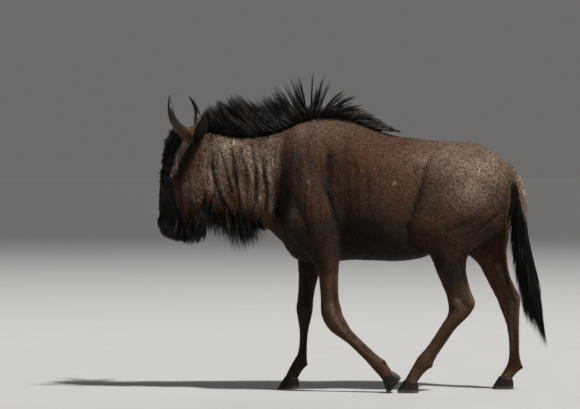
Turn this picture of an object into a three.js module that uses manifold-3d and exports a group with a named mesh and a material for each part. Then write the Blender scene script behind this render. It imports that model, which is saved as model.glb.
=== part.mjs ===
// A blue wildebeest, life size, caught in mid stride. X runs from the muzzle (-) to the tail (+), Y from the
// animal's left (-) to its right (+), and Z up from the ground. All sizes are millimetres.
import * as THREE from "three";
import { mergeVertices } from "three/addons/utils/BufferGeometryUtils.js";
import Module from "manifold-3d";

const wasm = await Module();
wasm.setup();

// Gap that keeps two neighbouring parts from sharing a surface
const gap = 0.3;
// The head is turned to its own right about an upright line through the poll
const headTurn = THREE.MathUtils.degToRad(-17);
const pollX = -725;

// Outline rows. Each row is one section of the body: its two edge points in the side view as [x, z], its half
// width, how far its middle lies to the side, and how much narrower it is at the "over" edge (lean).
const torsoRows = [
  { over: [-260, 1343], under: [-360, 765], wide: 110, lean: 0.3 },
  { over: [-200, 1368], under: [-285, 660], wide: 150, lean: 0.34 },
  { over: [-140, 1377], under: [-170, 636], wide: 168, lean: 0.36 },
  { over: [-70, 1372], under: [-60, 648], wide: 184, lean: 0.34 },
  { over: [0, 1357], under: [15, 653], wide: 198, lean: 0.27 },
  { over: [90, 1320], under: [100, 650], wide: 208, lean: 0.18 },
  { over: [190, 1285], under: [200, 646], wide: 212, lean: 0.12 },
  { over: [280, 1270], under: [280, 651], wide: 207, lean: 0.08 },
  { over: [365, 1261], under: [350, 664], wide: 196, lean: 0.05 },
  { over: [450, 1252], under: [420, 695], wide: 186, lean: 0.06 },
  { over: [530, 1253], under: [490, 725], wide: 180, lean: 0.1 },
  { over: [610, 1247], under: [570, 740], wide: 172, lean: 0.14 },
  { over: [680, 1215], under: [640, 755], wide: 152, lean: 0.16 },
  { over: [740, 1172], under: [710, 775], wide: 128, lean: 0.12 },
  { over: [780, 1133], under: [765, 830], wide: 92, lean: 0.05 },
  { over: [795, 1085], under: [785, 915], wide: 48, lean: 0 },
];
const neckRows = [
  { over: [-760, 1285], under: [-745, 955], wide: 60, turn: 1 },
  { over: [-700, 1300], under: [-710, 910], wide: 72, turn: 0.9 },
  { over: [-650, 1288], under: [-680, 885], wide: 78, turn: 0.6 },
  { over: [-585, 1278], under: [-625, 865], wide: 86, turn: 0.3 },
  { over: [-520, 1275], under: [-570, 850], wide: 95, turn: 0.1 },
  { over: [-450, 1280], under: [-505, 835], wide: 106 },
  { over: [-385, 1292], under: [-445, 820], wide: 121 },
  { over: [-320, 1320], under: [-400, 795], wide: 137 },
  { over: [-260, 1347], under: [-365, 760], wide: 148 },
  { over: [-200, 1335], under: [-300, 705], wide: 142 },
].map((row) => ({ lean: 0.22, ...row }));
const headRows = [
  { over: [-852, 1313], under: [-785, 1323], wide: 16 },
  { over: [-877, 1302], under: [-760, 1318], wide: 40 },
  { over: [-901, 1280], under: [-725, 1285], wide: 66 },
  { over: [-921, 1240], under: [-694, 1225], wide: 79 },
  { over: [-936, 1195], under: [-678, 1155], wide: 84 },
  { over: [-948, 1145], under: [-673, 1085], wide: 85 },
  { over: [-957, 1095], under: [-678, 1015], wide: 82 },
  { over: [-965, 1045], under: [-699, 950], wide: 74 },
  { over: [-970, 995], under: [-735, 900], wide: 64 },
  { over: [-974, 945], under: [-767, 865], wide: 56 },
  { over: [-977, 900], under: [-793, 830], wide: 53, lean: 0.05 },
  { over: [-978, 860], under: [-810, 800], wide: 56, lean: -0.05 },
  { over: [-976, 820], under: [-822, 775], wide: 61, lean: -0.08 },
  { over: [-965, 787], under: [-831, 757], wide: 59, lean: -0.05 },
  { over: [-945, 767], under: [-850, 748], wide: 45 },
  { over: [-913, 757], under: [-879, 747], wide: 16 },
].map((row) => ({ full: 2.5, lean: 0.14, ...row }));

// The foreleg's rows run from the top of the shoulder blade to the fetlock, "over" being the front edge
const shoulderRows = [
  { over: [-215, 1295], under: [-140, 1305], side: 50, wide: 16 },
  { over: [-262, 1205], under: [-115, 1215], side: 88, wide: 34 },
  { over: [-308, 1080], under: [-105, 1095], side: 118, wide: 50 },
];
const leftForeRows = [
  ...shoulderRows,
  { over: [-340, 955], under: [-100, 975], side: 132, wide: 60 },
  { over: [-345, 845], under: [-75, 855], side: 135, wide: 62 },
  { over: [-300, 755], under: [-60, 765], side: 132, wide: 58 },
  { over: [-230, 685], under: [-60, 695], side: 125, wide: 50 },
  { over: [-180, 615], under: [-65, 630], side: 121, wide: 43 },
  { over: [-165, 530], under: [-68, 540], side: 119, wide: 38 },
  { over: [-160, 455], under: [-65, 470], side: 118, wide: 35 },
  { over: [-158, 400], under: [-60, 425], side: 118, wide: 35 },
  { over: [-143, 350], under: [-45, 388], side: 118, wide: 36, joint: true },
  { over: [-110, 305], under: [-25, 352], side: 118, wide: 32 },
  { over: [-70, 275], under: [-5, 317], side: 118, wide: 27 },
  { over: [-25, 243], under: [25, 285], side: 118, wide: 25 },
  { over: [20, 200], under: [68, 243], side: 118, wide: 25 },
  { over: [63, 158], under: [112, 202], side: 118, wide: 28 },
  { over: [98, 118], under: [160, 160], side: 118, wide: 33 },
  { over: [128, 86], under: [186, 128], side: 118, wide: 32 },
];
const rightForeRows = [
  ...shoulderRows,
  { over: [-345, 955], under: [-105, 975], side: 132, wide: 60 },
  { over: [-352, 845], under: [-90, 855], side: 135, wide: 62 },
  { over: [-320, 750], under: [-90, 760], side: 132, wide: 58 },
  { over: [-278, 670], under: [-115, 685], side: 125, wide: 50 },
  { over: [-270, 600], under: [-150, 610], side: 121, wide: 43 },
  { over: [-270, 520], under: [-175, 525], side: 119, wide: 38 },
  { over: [-275, 455], under: [-188, 460], side: 118, wide: 35 },
  { over: [-280, 405], under: [-193, 405], side: 118, wide: 36, joint: true },
  { over: [-273, 350], under: [-202, 350], side: 118, wide: 32 },
  { over: [-265, 295], under: [-215, 290], side: 118, wide: 25 },
  { over: [-266, 230], under: [-220, 230], side: 118, wide: 24 },
  { over: [-273, 180], under: [-222, 170], side: 118, wide: 28 },
  { over: [-292, 145], under: [-224, 125], side: 118, wide: 33 },
  { over: [-318, 100], under: [-252, 80], side: 118, wide: 31 },
];
// The hind leg's rows run from the hip to the fetlock
const leftHindRows = [
  { over: [440, 1205], under: [650, 1210], side: 62, wide: 50 },
  { over: [395, 1130], under: [725, 1145], side: 88, wide: 72 },
  { over: [360, 1030], under: [770, 1055], side: 110, wide: 76 },
  { over: [330, 930], under: [780, 955], side: 119, wide: 84 },
  { over: [320, 830], under: [745, 860], side: 123, wide: 82 },
  { over: [340, 745], under: [670, 765], side: 123, wide: 72 },
  { over: [385, 675], under: [590, 705], side: 119, wide: 59 },
  { over: [413, 605], under: [565, 635], side: 115, wide: 48 },
  { over: [440, 540], under: [578, 550], side: 112, wide: 40 },
  { over: [463, 485], under: [595, 492], side: 110, wide: 35 },
  { over: [475, 433], under: [613, 440], side: 109, wide: 34 },
  { over: [470, 385], under: [583, 385], side: 108, wide: 34, joint: true },
  { over: [440, 338], under: [517, 318], side: 108, wide: 29 },
  { over: [403, 280], under: [463, 240], side: 108, wide: 26 },
  { over: [365, 225], under: [425, 185], side: 108, wide: 26 },
  { over: [325, 180], under: [396, 135], side: 108, wide: 32 },
  { over: [290, 120], under: [350, 85], side: 108, wide: 30 },
];
const rightHindRows = [
  { over: [440, 1205], under: [650, 1210], side: 62, wide: 50 },
  { over: [405, 1130], under: [735, 1145], side: 88, wide: 72 },
  { over: [380, 1030], under: [780, 1055], side: 110, wide: 76 },
  { over: [385, 930], under: [795, 955], side: 118, wide: 82 },
  { over: [425, 830], under: [800, 860], side: 120, wide: 78 },
  { over: [490, 740], under: [795, 765], side: 118, wide: 68 },
  { over: [570, 690], under: [785, 705], side: 114, wide: 57 },
  { over: [630, 638], under: [788, 635], side: 110, wide: 46 },
  { over: [665, 580], under: [800, 575], side: 107, wide: 39 },
  { over: [695, 520], under: [825, 520], side: 105, wide: 34 },
  { over: [730, 455], under: [852, 463], side: 104, wide: 34 },
  { over: [755, 390], under: [850, 395], side: 103, wide: 32, joint: true },
  { over: [778, 325], under: [848, 330], side: 103, wide: 27 },
  { over: [790, 255], under: [848, 255], side: 103, wide: 25 },
  { over: [793, 180], under: [850, 175], side: 103, wide: 27 },
  { over: [785, 128], under: [860, 112], side: 103, wide: 32 },
  { over: [765, 90], under: [828, 72], side: 103, wide: 30 },
];
const tailRows = [
  { over: [740, 1165], under: [745, 1080], wide: 38 },
  { over: [790, 1135], under: [772, 1075], wide: 34 },
  { over: [830, 1095], under: [797, 1050], wide: 29 },
  { over: [860, 1035], under: [817, 1010], wide: 25 },
  { over: [875, 960], under: [830, 955], wide: 22 },
  { over: [876, 880], under: [834, 880], wide: 20 },
  { over: [877, 805], under: [840, 802], wide: 18 },
  { over: [887, 730], under: [855, 722], wide: 15 },
  { over: [900, 665], under: [875, 655], wide: 11 },
  { over: [908, 625], under: [895, 620], wide: 5 },
];

// A cloven hoof, seen from the side with its sole on the ground: each claw's rows and its place beside the
// middle of the foot. The leg ends on the plane of the topmost row.
const clawRows = [
  { over: [-62, 0], under: [40, 0], wide: 18 },
  { over: [-61, 8], under: [42, 7], wide: 20 },
  { over: [-47, 31], under: [42, 28], wide: 20 },
  { over: [-31, 56], under: [38, 50], wide: 18 },
];
const clawSide = 21.5;
// Where each hoof stands, and how far its heel is lifted about the toe
const feet = {
  left_fore: { x: 239, side: -118, pitch: 52 },
  right_fore: { x: -306, side: 118, pitch: 0 },
  left_hind: { x: 286, side: -108, pitch: 0 },
  right_hind: { x: 774, side: 103, pitch: 0 },
};
const toeSink = 5;

// Horns: points of the right horn's middle line in the unturned head, as [x, y, z], and its radius at each
const hornLine = [
  { at: [-808, 38, 1268], radius: 34 },
  { at: [-808, 90, 1292], radius: 31 },
  { at: [-822, 144, 1318], radius: 26 },
  { at: [-838, 186, 1354], radius: 21 },
  { at: [-846, 201, 1396], radius: 16.5 },
  { at: [-857, 186, 1438], radius: 11.5 },
  { at: [-870, 146, 1476], radius: 3 },
];
// Ears: the right ear's middle line, half width and half thickness
const earLine = [
  { at: [-752, 52, 1250], half: 20, thick: 17 },
  { at: [-743, 78, 1266], half: 25, thick: 17 },
  { at: [-722, 112, 1292], half: 31, thick: 14 },
  { at: [-698, 150, 1320], half: 32, thick: 11 },
  { at: [-674, 192, 1348], half: 23, thick: 8 },
  { at: [-656, 226, 1374], half: 5, thick: 3 },
];
const eye = { at: [-899, 60, 1070], radius: 21 };
const lid = { ring: 17.5, radius: 5.5, out: 12, tall: 0.8 };
const nostril = { at: [-969, 52, 838], size: [16, 13, 20], wing: [-944, 34, 845], wingSize: [34, 28, 38] };
const gland = { at: [-918, 20, 1006], size: [50, 38, 46] };
const mouthLine = [
  [-846, -52, 876],
  [-852, -50, 840],
  [-859, -46, 792],
  [-868, -27, 754],
  [-871, 0, 745],
  [-868, 27, 754],
  [-859, 46, 792],
  [-852, 50, 840],
  [-846, 52, 876],
];

// Hair. Rows of the middle line give root and tip in the side view as [x, z], and how far the middle of the
// lock is pushed off the straight line between them.
const maneRows = [
  { root: [-760, 1312], tip: [-746, 1390], bow: [-4, 4] },
  { root: [-718, 1315], tip: [-732, 1420], bow: [4, 8] },
  { root: [-668, 1300], tip: [-690, 1450], bow: [6, 8] },
  { root: [-625, 1288], tip: [-662, 1460], bow: [10, 10] },
  { root: [-570, 1280], tip: [-620, 1480], bow: [12, 12] },
  { root: [-510, 1280], tip: [-573, 1495], bow: [14, 12] },
  { root: [-450, 1288], tip: [-518, 1470], bow: [14, 10] },
  { root: [-400, 1300], tip: [-470, 1490], bow: [14, 10] },
  { root: [-350, 1315], tip: [-425, 1480], bow: [12, 8] },
  { root: [-315, 1335], tip: [-395, 1540], bow: [10, 8] },
  { root: [-285, 1350], tip: [-372, 1572], bow: [8, 8] },
  { root: [-258, 1362], tip: [-320, 1568], bow: [6, 6] },
  { root: [-235, 1370], tip: [-266, 1588], bow: [4, 4] },
  { root: [-215, 1372], tip: [-210, 1602], bow: [0, 4] },
  { root: [-196, 1374], tip: [-150, 1596], bow: [-4, 8] },
  { root: [-165, 1374], tip: [-72, 1552], bow: [-10, 14] },
  { root: [-138, 1374], tip: [-8, 1532], bow: [-14, 20] },
  { root: [-102, 1371], tip: [22, 1486], bow: [-14, 24] },
  { root: [-60, 1366], tip: [56, 1436], bow: [-8, 26] },
  { root: [-15, 1352], tip: [112, 1392], bow: [0, 26] },
  { root: [35, 1333], tip: [162, 1340], bow: [4, 24] },
  { root: [85, 1312], tip: [218, 1306], bow: [6, 22] },
  { root: [130, 1296], tip: [252, 1290], bow: [6, 18] },
];
const beardRows = [
  { root: [-738, 905], tip: [-742, 800], bow: [6, 0] },
  { root: [-708, 893], tip: [-705, 748], bow: [6, 0] },
  { root: [-665, 872], tip: [-662, 758], bow: [6, 0] },
  { root: [-630, 862], tip: [-615, 742], bow: [-6, 0] },
  { root: [-595, 855], tip: [-576, 697], bow: [-8, 0] },
  { root: [-560, 848], tip: [-543, 716], bow: [-8, 0] },
  { root: [-525, 840], tip: [-505, 718], bow: [-8, 0] },
  { root: [-490, 832], tip: [-470, 757], bow: [-6, 0] },
  { root: [-450, 820], tip: [-430, 778], bow: [-4, 0] },
];
const faceRows = [
  { root: [-900, 1282], tip: [-936, 1222], bow: [-10, 6] },
  { root: [-922, 1232], tip: [-958, 1160], bow: [-10, 6] },
  { root: [-940, 1180], tip: [-975, 1105], bow: [-10, 6] },
  { root: [-952, 1128], tip: [-983, 1050], bow: [-10, 6] },
  { root: [-962, 1074], tip: [-989, 998], bow: [-9, 6] },
  { root: [-969, 1020], tip: [-991, 950], bow: [-8, 5] },
];
const jawRows = [
  { root: [-745, 905], tip: [-752, 815], bow: [4, 0] },
  { root: [-772, 868], tip: [-768, 770], bow: [8, 0] },
  { root: [-800, 838], tip: [-778, 752], bow: [12, -8] },
  { root: [-822, 805], tip: [-806, 738], bow: [12, -6] },
];
// The tail's tuft: its dense middle as outline rows, and its locks down the front, the middle and the back
const tuftRows = [
  { over: [872, 820], under: [835, 840], wide: 16 },
  { over: [895, 735], under: [826, 760], wide: 24 },
  { over: [915, 650], under: [826, 670], wide: 30 },
  { over: [930, 570], under: [838, 580], wide: 30 },
  { over: [936, 490], under: [862, 500], wide: 24 },
  { over: [930, 430], under: [888, 435], wide: 14 },
];
const tuftFront = [
  { root: [835, 1000], tip: [800, 800], bow: [-6, 0] },
  { root: [838, 880], tip: [812, 660], bow: [-6, 0] },
  { root: [842, 760], tip: [822, 530], bow: [-6, 0] },
  { root: [850, 640], tip: [845, 400], bow: [-8, 0] },
  { root: [870, 560], tip: [880, 310], bow: [-12, 0] },
];
const tuftMiddle = [
  { root: [850, 760], tip: [870, 430], bow: [-10, 0] },
  { root: [865, 640], tip: [905, 300], bow: [-10, 0] },
  { root: [885, 560], tip: [945, 225], bow: [-12, 0] },
  { root: [900, 520], tip: [978, 172], bow: [-8, 0] },
];
const tuftBack = [
  { root: [885, 720], tip: [948, 500], bow: [14, 0] },
  { root: [905, 640], tip: [958, 400], bow: [14, 0] },
  { root: [915, 560], tip: [970, 290], bow: [10, 0] },
  { root: [912, 500], tip: [984, 195], bow: [6, 0] },
];
// How deep a lock's root is sunk, and its half width along its length as shares of the widest
const rootSink = 26;
const coreSink = 45;
const lockShape = [0.75, 1, 0.66, 0.04];

// The number (or list of numbers) at place u along rows, on a smooth line through every row
function along(rows, read, u) {
  const last = rows.length - 1;
  const i = Math.min(Math.floor(u), last - 1);
  const t = u - i;
  const row = (k) => read(rows[THREE.MathUtils.clamp(k, 0, last)]);
  const [a, b, c, d] = [row(i - 1), row(i), row(i + 1), row(i + 2)];
  const blend = (p, q, r, s) =>
    q + 0.5 * t * (r - p + t * (2 * p - 5 * q + 4 * r - s + t * (3 * (q - r) + s - p)));
  return Array.isArray(b) ? b.map((_, k) => blend(a[k], b[k], c[k], d[k])) : blend(a, b, c, d);
}

// A closed geometry through rings of points, with a fan over each end
function closeRings(rings) {
  const sides = rings[0].length;
  const points = rings.flat();
  const middle = (ring) => ring.reduce((sum, p) => sum.clone().add(p)).divideScalar(sides);
  points.push(middle(rings[0]), middle(rings.at(-1)));
  const [start, end] = [points.length - 2, points.length - 1];
  const faces = [];
  for (let s = 0; s < sides; s++) {
    const next = (s + 1) % sides;
    faces.push(start, next, s);
    for (let r = 0; r < rings.length - 1; r++) {
      const [a, b] = [r * sides + s, r * sides + next];
      faces.push(a, b, b + sides, a, b + sides, a + sides);
    }
    const base = (rings.length - 1) * sides;
    faces.push(end, base + s, base + next);
  }
  const geometry = new THREE.BufferGeometry().setFromPoints(points);
  geometry.setIndex(faces);
  return geometry;
}

// A rounded-square section: the point at angle a, from -1 to 1 each way
function roundedSquare(a, full) {
  const bend = (v) => Math.sign(v) * Math.abs(v) ** (2 / full);
  return [bend(Math.cos(a)), bend(Math.sin(a))];
}

// The body form through outline rows
function loft(rows, { sides, steps, mirror = 1, grow = 0 }) {
  const rings = [];
  for (let k = 0; k <= steps; k++) {
    const u = (k / steps) * (rows.length - 1);
    const [ox, oz] = along(rows, (row) => row.over, u);
    const [ux, uz] = along(rows, (row) => row.under, u);
    const wide = along(rows, (row) => row.wide, u) + grow;
    const side = along(rows, (row) => row.side ?? 0, u) * mirror;
    const lean = along(rows, (row) => row.lean ?? 0, u);
    const full = along(rows, (row) => row.full ?? 2.2, u);
    const turn = along(rows, (row) => row.turn ?? 0, u) * headTurn;
    const half = Math.hypot(ox - ux, oz - uz) / 2;
    const up = new THREE.Vector2(ox - ux, oz - uz).divideScalar(2 * half);
    const ring = [];
    for (let s = 0; s < sides; s++) {
      const [across, height] = roundedSquare((2 * Math.PI * s) / sides, full);
      const y = wide * across * (1 - lean * height);
      const h = (half + grow) * height;
      ring.push(
        new THREE.Vector3(
          (ox + ux) / 2 + up.x * h - y * Math.sin(turn),
          side + y * Math.cos(turn),
          (oz + uz) / 2 + up.y * h,
        ),
      );
    }
    rings.push(ring);
  }
  return closeRings(rings);
}

// A round or flat tube along points of a curve. flat names the direction in which its thickness is measured.
function tube(line, { sides, steps, flat, half, thick, full = 2 }) {
  const curve = new THREE.CatmullRomCurve3(line.map((row) => new THREE.Vector3(...row.at)));
  const rings = [];
  for (let k = 0; k <= steps; k++) {
    const t = k / steps;
    const u = t * (line.length - 1);
    const at = curve.getPoint(t);
    const forward = curve.getTangent(t);
    const across = new THREE.Vector3().crossVectors(forward, flat).normalize();
    const out = new THREE.Vector3().crossVectors(across, forward).normalize();
    const [w, d] = [along(line, half, u), along(line, thick, u)];
    rings.push(
      Array.from({ length: sides }, (_, s) => {
        const [c, h] = roundedSquare((2 * Math.PI * s) / sides, full);
        return at.clone().addScaledVector(across, w * c).addScaledVector(out, d * h);
      }),
    );
  }
  return closeRings(rings);
}

// A geometry as a solid that can be joined and cut
function solid(geometry) {
  const bare = geometry.clone();
  bare.deleteAttribute("normal");
  bare.deleteAttribute("uv");
  const merged = mergeVertices(bare, 1e-3);
  const make = (triVerts) =>
    new wasm.Manifold(
      new wasm.Mesh({ numProp: 3, vertProperties: merged.attributes.position.array, triVerts }),
    );
  const made = make(new Uint32Array(merged.index.array));
  return made.volume() > 0 ? made : make(new Uint32Array(merged.index.array).reverse());
}

const join = (...solids) => wasm.Manifold.union(solids.flat());

// The largest closed body of a solid
function largest(body) {
  return body.decompose().reduce((a, b) => (a.volume() > b.volume() ? a : b));
}

// Everything on the side of a plane that its normal points to, set back by half the gap
function beyond([x, y, z], normal) {
  const size = 6000;
  const way = new THREE.Vector3(...normal).normalize();
  const box = new THREE.BoxGeometry(size, size, size);
  box.translate(0, 0, size / 2 + gap / 2);
  box.applyQuaternion(new THREE.Quaternion().setFromUnitVectors(new THREE.Vector3(0, 0, 1), way));
  box.translate(x, y, z);
  return solid(box);
}

// Turns what belongs to the head to its place
function turnHead(geometry) {
  return geometry.translate(-pollX, 0, 0).rotateZ(headTurn).translate(pollX, 0, 0);
}

function ball([x, y, z], [rx, ry, rz], sides = 10) {
  const sphere = new THREE.SphereGeometry(1, sides, Math.round(sides * 0.7));
  return sphere.scale(rx, ry, rz).translate(x, y, z);
}

function mirrored(row) {
  return { ...row, at: [row.at[0], -row.at[1], row.at[2]] };
}

// The two points in the plane of a leg's topmost claw row, in the side view
function coronet({ x, pitch }) {
  return ["over", "under"].map((edge) => footPoint(clawRows.at(-1)[edge], x, pitch));
}

// A point of the foot in the side view, once the foot is tipped up about its toe
function footPoint([px, pz], x, pitch) {
  const toe = new THREE.Vector2(x + clawRows[0].over[0], 0);
  const p = new THREE.Vector2(px + x, pz).rotateAround(toe, THREE.MathUtils.degToRad(pitch));
  return [p.x, pitch ? p.y - toeSink : p.y];
}

function legLoft(rows, foot, options) {
  const [over, under] = coronet(foot);
  const end = { over, under, side: Math.abs(foot.side), wide: 2 * clawSide - 3 };
  return loft([...rows, end], { ...options, mirror: Math.sign(foot.side) });
}

// The plane that parts a leg from its hoof, facing the hoof
function coronetCut(foot) {
  const [over, under] = coronet(foot);
  const middle = [(over[0] + under[0]) / 2, 0, (over[1] + under[1]) / 2];
  return [middle, [over[1] - under[1], 0, under[0] - over[0]].map((v) => -v)];
}

// The small false hooves behind a fetlock
function dewclaws(rows, foot) {
  const { over, under } = rows.at(-2);
  const back = new THREE.Vector2(under[0] - over[0], under[1] - over[1]).normalize();
  return [-1, 1].map((way) =>
    solid(
      ball(
        [under[0] - back.x * 8, foot.side + way * 15, under[1] - back.y * 8 - 4],
        [15, 11, 17],
        8,
      ),
    ),
  );
}

function claw(foot, way, grow = 0) {
  const rows = clawRows.map(({ over, under, wide }) => ({
    over: footPoint(over, foot.x, foot.pitch),
    under: footPoint(under, foot.x, foot.pitch),
    wide: wide + grow,
    side: foot.side + way * clawSide,
  }));
  return behind(solid(loft(rows, { sides: 10, steps: 3 })), coronetCut(foot)).intersect(ground);
}

const ground = beyond([0, 0, -gap / 2], [0, 0, 1]);

// Head

// Both sides of something on the head
function pair(make) {
  return [-1, 1].map((way) => solid(turnHead(make(way))));
}

function headForm(grow) {
  const skull = solid(turnHead(loft(headRows, { sides: 20, steps: 16, grow })));
  const brows = pair((way) => ball([-868, way * 22, 1104], [66 + grow, 57 + grow, 60 + grow], 14));
  const boss = pair((way) => ball([-806, way * 40, 1262], [50 + grow, 46 + grow, 40 + grow], 10));
  return join(skull, brows, boss);
}

const eyeball = (way, radius) => ball([eye.at[0], way * eye.at[1], eye.at[2]], [radius, radius, radius]);

function lids(way) {
  const ring = new THREE.TorusGeometry(lid.ring, lid.radius, 5, 10).scale(1, lid.tall, 1);
  ring.applyQuaternion(
    new THREE.Quaternion().setFromUnitVectors(
      new THREE.Vector3(0, 0, 1),
      new THREE.Vector3(-0.3, way, 0).normalize(),
    ),
  );
  return ring.translate(eye.at[0] - 3, way * (eye.at[1] + lid.out), eye.at[2]);
}

// The mouth line, nostrils, eye sockets and lids, worked into the head
function headDetail(head) {
  const flanked = (at, size) => pair((way) => ball([at[0], way * at[1], at[2]], size));
  const line = mouthLine.map((at) => ({ at, half: 13, thick: 2.5 }));
  const sizes = { half: (row) => row.half, thick: (row) => row.thick };
  const inward = new THREE.Vector3(-1, 0, 0);
  const slit = solid(turnHead(tube(line, { sides: 4, steps: 12, flat: inward, ...sizes })));
  const wings = flanked(nostril.wing, nostril.wingSize);
  const raised = join(head, pair(lids), wings, flanked(gland.at, gland.size));
  const holes = join(
    flanked(nostril.at, nostril.size),
    pair((way) => eyeball(way, eye.radius + gap)),
    slit,
  );
  return raised.subtract(holes);
}

const body = join(
  solid(loft(torsoRows, { sides: 24, steps: 18 })),
  solid(loft(neckRows, { sides: 20, steps: 11 })),
  headForm(0),
  solid(legLoft(leftForeRows, feet.left_fore, { sides: 10, steps: 21 })),
  solid(legLoft(rightForeRows, feet.right_fore, { sides: 10, steps: 21 })),
  solid(legLoft(leftHindRows, feet.left_hind, { sides: 10, steps: 21 })),
  solid(legLoft(rightHindRows, feet.right_hind, { sides: 10, steps: 21 })),
);

// Planes that part the body, each as a point and the way it faces
const behindJaw = new THREE.Vector3(-685, 0, 0);
const cuts = {
  nape: [
    [pollX + (behindJaw.x - pollX) * Math.cos(headTurn), (behindJaw.x - pollX) * Math.sin(headTurn), 0],
    [Math.cos(headTurn), Math.sin(headTurn), 0],
  ],
  shoulder: [[-182, 0, 1378], [618, 0, -210]],
  loin: [[300, 0, 0], [1, 0, 0]],
  foreElbow: [[0, 0, 628], [0, 0, -1]],
  stifle: [[0, 0, 640], [0, 0, -1]],
};
const facing = ([at, way]) => beyond(at, way);
const against = ([at, way]) => beyond(at, way.map((v) => -v));

const inFront = (piece, cut) => piece.intersect(against(cut));
const behind = (piece, cut) => piece.intersect(facing(cut));

const headPart = inFront(body, cuts.nape);
const neckPart = inFront(behind(body, cuts.nape), cuts.shoulder);
const barrel = behind(body, cuts.shoulder);
const torsoPart = inFront(inFront(barrel, cuts.loin), cuts.foreElbow);
const hindPart = inFront(behind(barrel, cuts.loin), cuts.stifle);

// Legs

// The plane through a leg's joint row
function jointCut(rows) {
  const { over, under } = rows.find((row) => row.joint);
  const middle = [(over[0] + under[0]) / 2, 0, (over[1] + under[1]) / 2];
  return [middle, [-(over[1] - under[1]), 0, over[0] - under[0]]];
}

function legParts(rows, foot, isFore) {
  const leg = inFront(solid(legLoft(rows, foot, { sides: 10, steps: 21 })), coronetCut(foot));
  const free = behind(leg, isFore ? cuts.foreElbow : cuts.stifle);
  const cut = jointCut(rows);
  return { upper: inFront(free, cut), lower: join(behind(free, cut), dewclaws(rows, foot)) };
}

// Small pieces of the head

const hornSide = (way) => {
  const line = way > 0 ? hornLine : hornLine.map(mirrored);
  const round = { half: (row) => row.radius, thick: (row) => row.radius };
  const flat = new THREE.Vector3(1, 0, 0);
  return solid(turnHead(tube(line, { sides: 10, steps: 12, flat, ...round })));
};

const earSide = (way) => {
  const line = way > 0 ? earLine : earLine.map(mirrored);
  const front = new THREE.Vector3(-0.3, way * 0.55, -0.75).normalize();
  const sizes = { half: (row) => row.half, thick: (row) => row.thick };
  const leaf = solid(turnHead(tube(line, { sides: 10, steps: 7, flat: front, ...sizes })));
  const hollow = line.slice(1).map((row) => ({
    at: row.at.map((v, k) => v + front.getComponent(k) * row.thick * 0.75),
    half: row.half * 0.8,
    thick: row.thick,
  }));
  const cup = solid(turnHead(tube(hollow, { sides: 8, steps: 6, flat: front, ...sizes })));
  return leaf.subtract(cup);
};

// Hair

let seed = 7;
function chance() {
  seed = (seed * 16807) % 2147483647;
  return seed / 2147483647 - 0.5;
}

// One flat tapering lock that bends from its sunk root to its tip
function lock({ root, tip, bow, wide, thick, flat, inward }) {
  const [from, to] = [new THREE.Vector3(...root), new THREE.Vector3(...tip)];
  const middle = from.clone().lerp(to, 0.5).add(new THREE.Vector3(...bow));
  const sunk = from.clone().sub(middle).setLength(rootSink).add(from);
  sunk.y = from.y * inward;
  const curve = new THREE.QuadraticBezierCurve3(sunk, middle, to);
  const line = lockShape.map((share, k) => ({
    at: curve.getPoint(k / (lockShape.length - 1)).toArray(),
    half: wide * share,
    thick: Math.max(thick * share, 0.4),
  }));
  const sizes = { half: (row) => row.half, thick: (row) => row.thick };
  return tube(line, { sides: 4, steps: lockShape.length - 1, flat, ...sizes });
}

// A run of locks along rows, "side" to the side of the middle line at the root and "spread" at the tip.
// Neighbours lie over each other, one a layer out and one a layer in. Their places and lengths vary a little
// by chance.
function run(rows, { count, side, spread, wide, thick, drop = 0, inward = 0.3, place = (g) => g }) {
  return Array.from({ length: count }, (_, k) => {
    const layer = (k % 2 ? 1 : -1) * thick * 1.15;
    const u = ((k + 0.5 + chance() * 0.4) / count) * (rows.length - 1);
    const [rx, rz] = along(rows, (row) => row.root, u);
    const [tx, tz] = along(rows, (row) => row.tip, u);
    const [bx, bz] = along(rows, (row) => row.bow, u);
    const reach = 1 + chance() * 0.16;
    const shape = {
      root: [rx, side + layer, rz - drop],
      tip: [rx + (tx - rx) * reach, spread + 2 * layer + chance() * 6, rz + (tz - rz) * reach],
      bow: [bx * 1.6, layer + chance() * 4, bz * 1.6],
      wide: wide * (1 + chance() * 0.3),
      thick,
      flat: new THREE.Vector3(chance() * 0.2, 1, chance() * 0.2).normalize(),
      inward,
    };
    return { root: shape.root, piece: solid(place(lock(shape))) };
  });
}

// The dense middle of a run of locks, from its sunk roots part of the way to its tips
function core(rows, { share, wide, steps }) {
  const outline = rows.map(({ root, tip }) => {
    const [dx, dz] = [tip[0] - root[0], tip[1] - root[1]];
    const sink = coreSink / Math.hypot(dx, dz);
    return {
      over: [root[0] + dx * share, root[1] + dz * share],
      under: [root[0] - dx * sink, root[1] - dz * sink],
      wide,
      lean: 0.5,
    };
  });
  return solid(loft(outline, { sides: 8, steps }));
}

const mane = [
  ...run(maneRows, { count: 24, side: 0, spread: 0, wide: 25, thick: 4 }),
  ...run(maneRows, { count: 12, side: -18, spread: -30, wide: 23, thick: 3.5, drop: 8 }),
  ...run(maneRows, { count: 12, side: 18, spread: 30, wide: 23, thick: 3.5, drop: 8 }),
];
const beard = [
  ...run(beardRows, { count: 10, side: -20, spread: -22, wide: 21, thick: 4, drop: -12 }),
  ...run(beardRows, { count: 10, side: 20, spread: 22, wide: 21, thick: 4, drop: -12 }),
];
const brush = [-30, 0, 30].flatMap((side) =>
  run(faceRows, { count: 4, side, spread: side, wide: 17, thick: 5, place: turnHead }),
);
const jaw = [-30, 30].flatMap((side) =>
  run(jawRows, { count: 4, side, spread: side * 1.2, wide: 15, thick: 4, place: turnHead }),
);
const crest = core(maneRows, { share: 0.42, wide: 19, steps: 22 });
const fringe = core(beardRows, { share: 0.35, wide: 20, steps: 8 });
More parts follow.
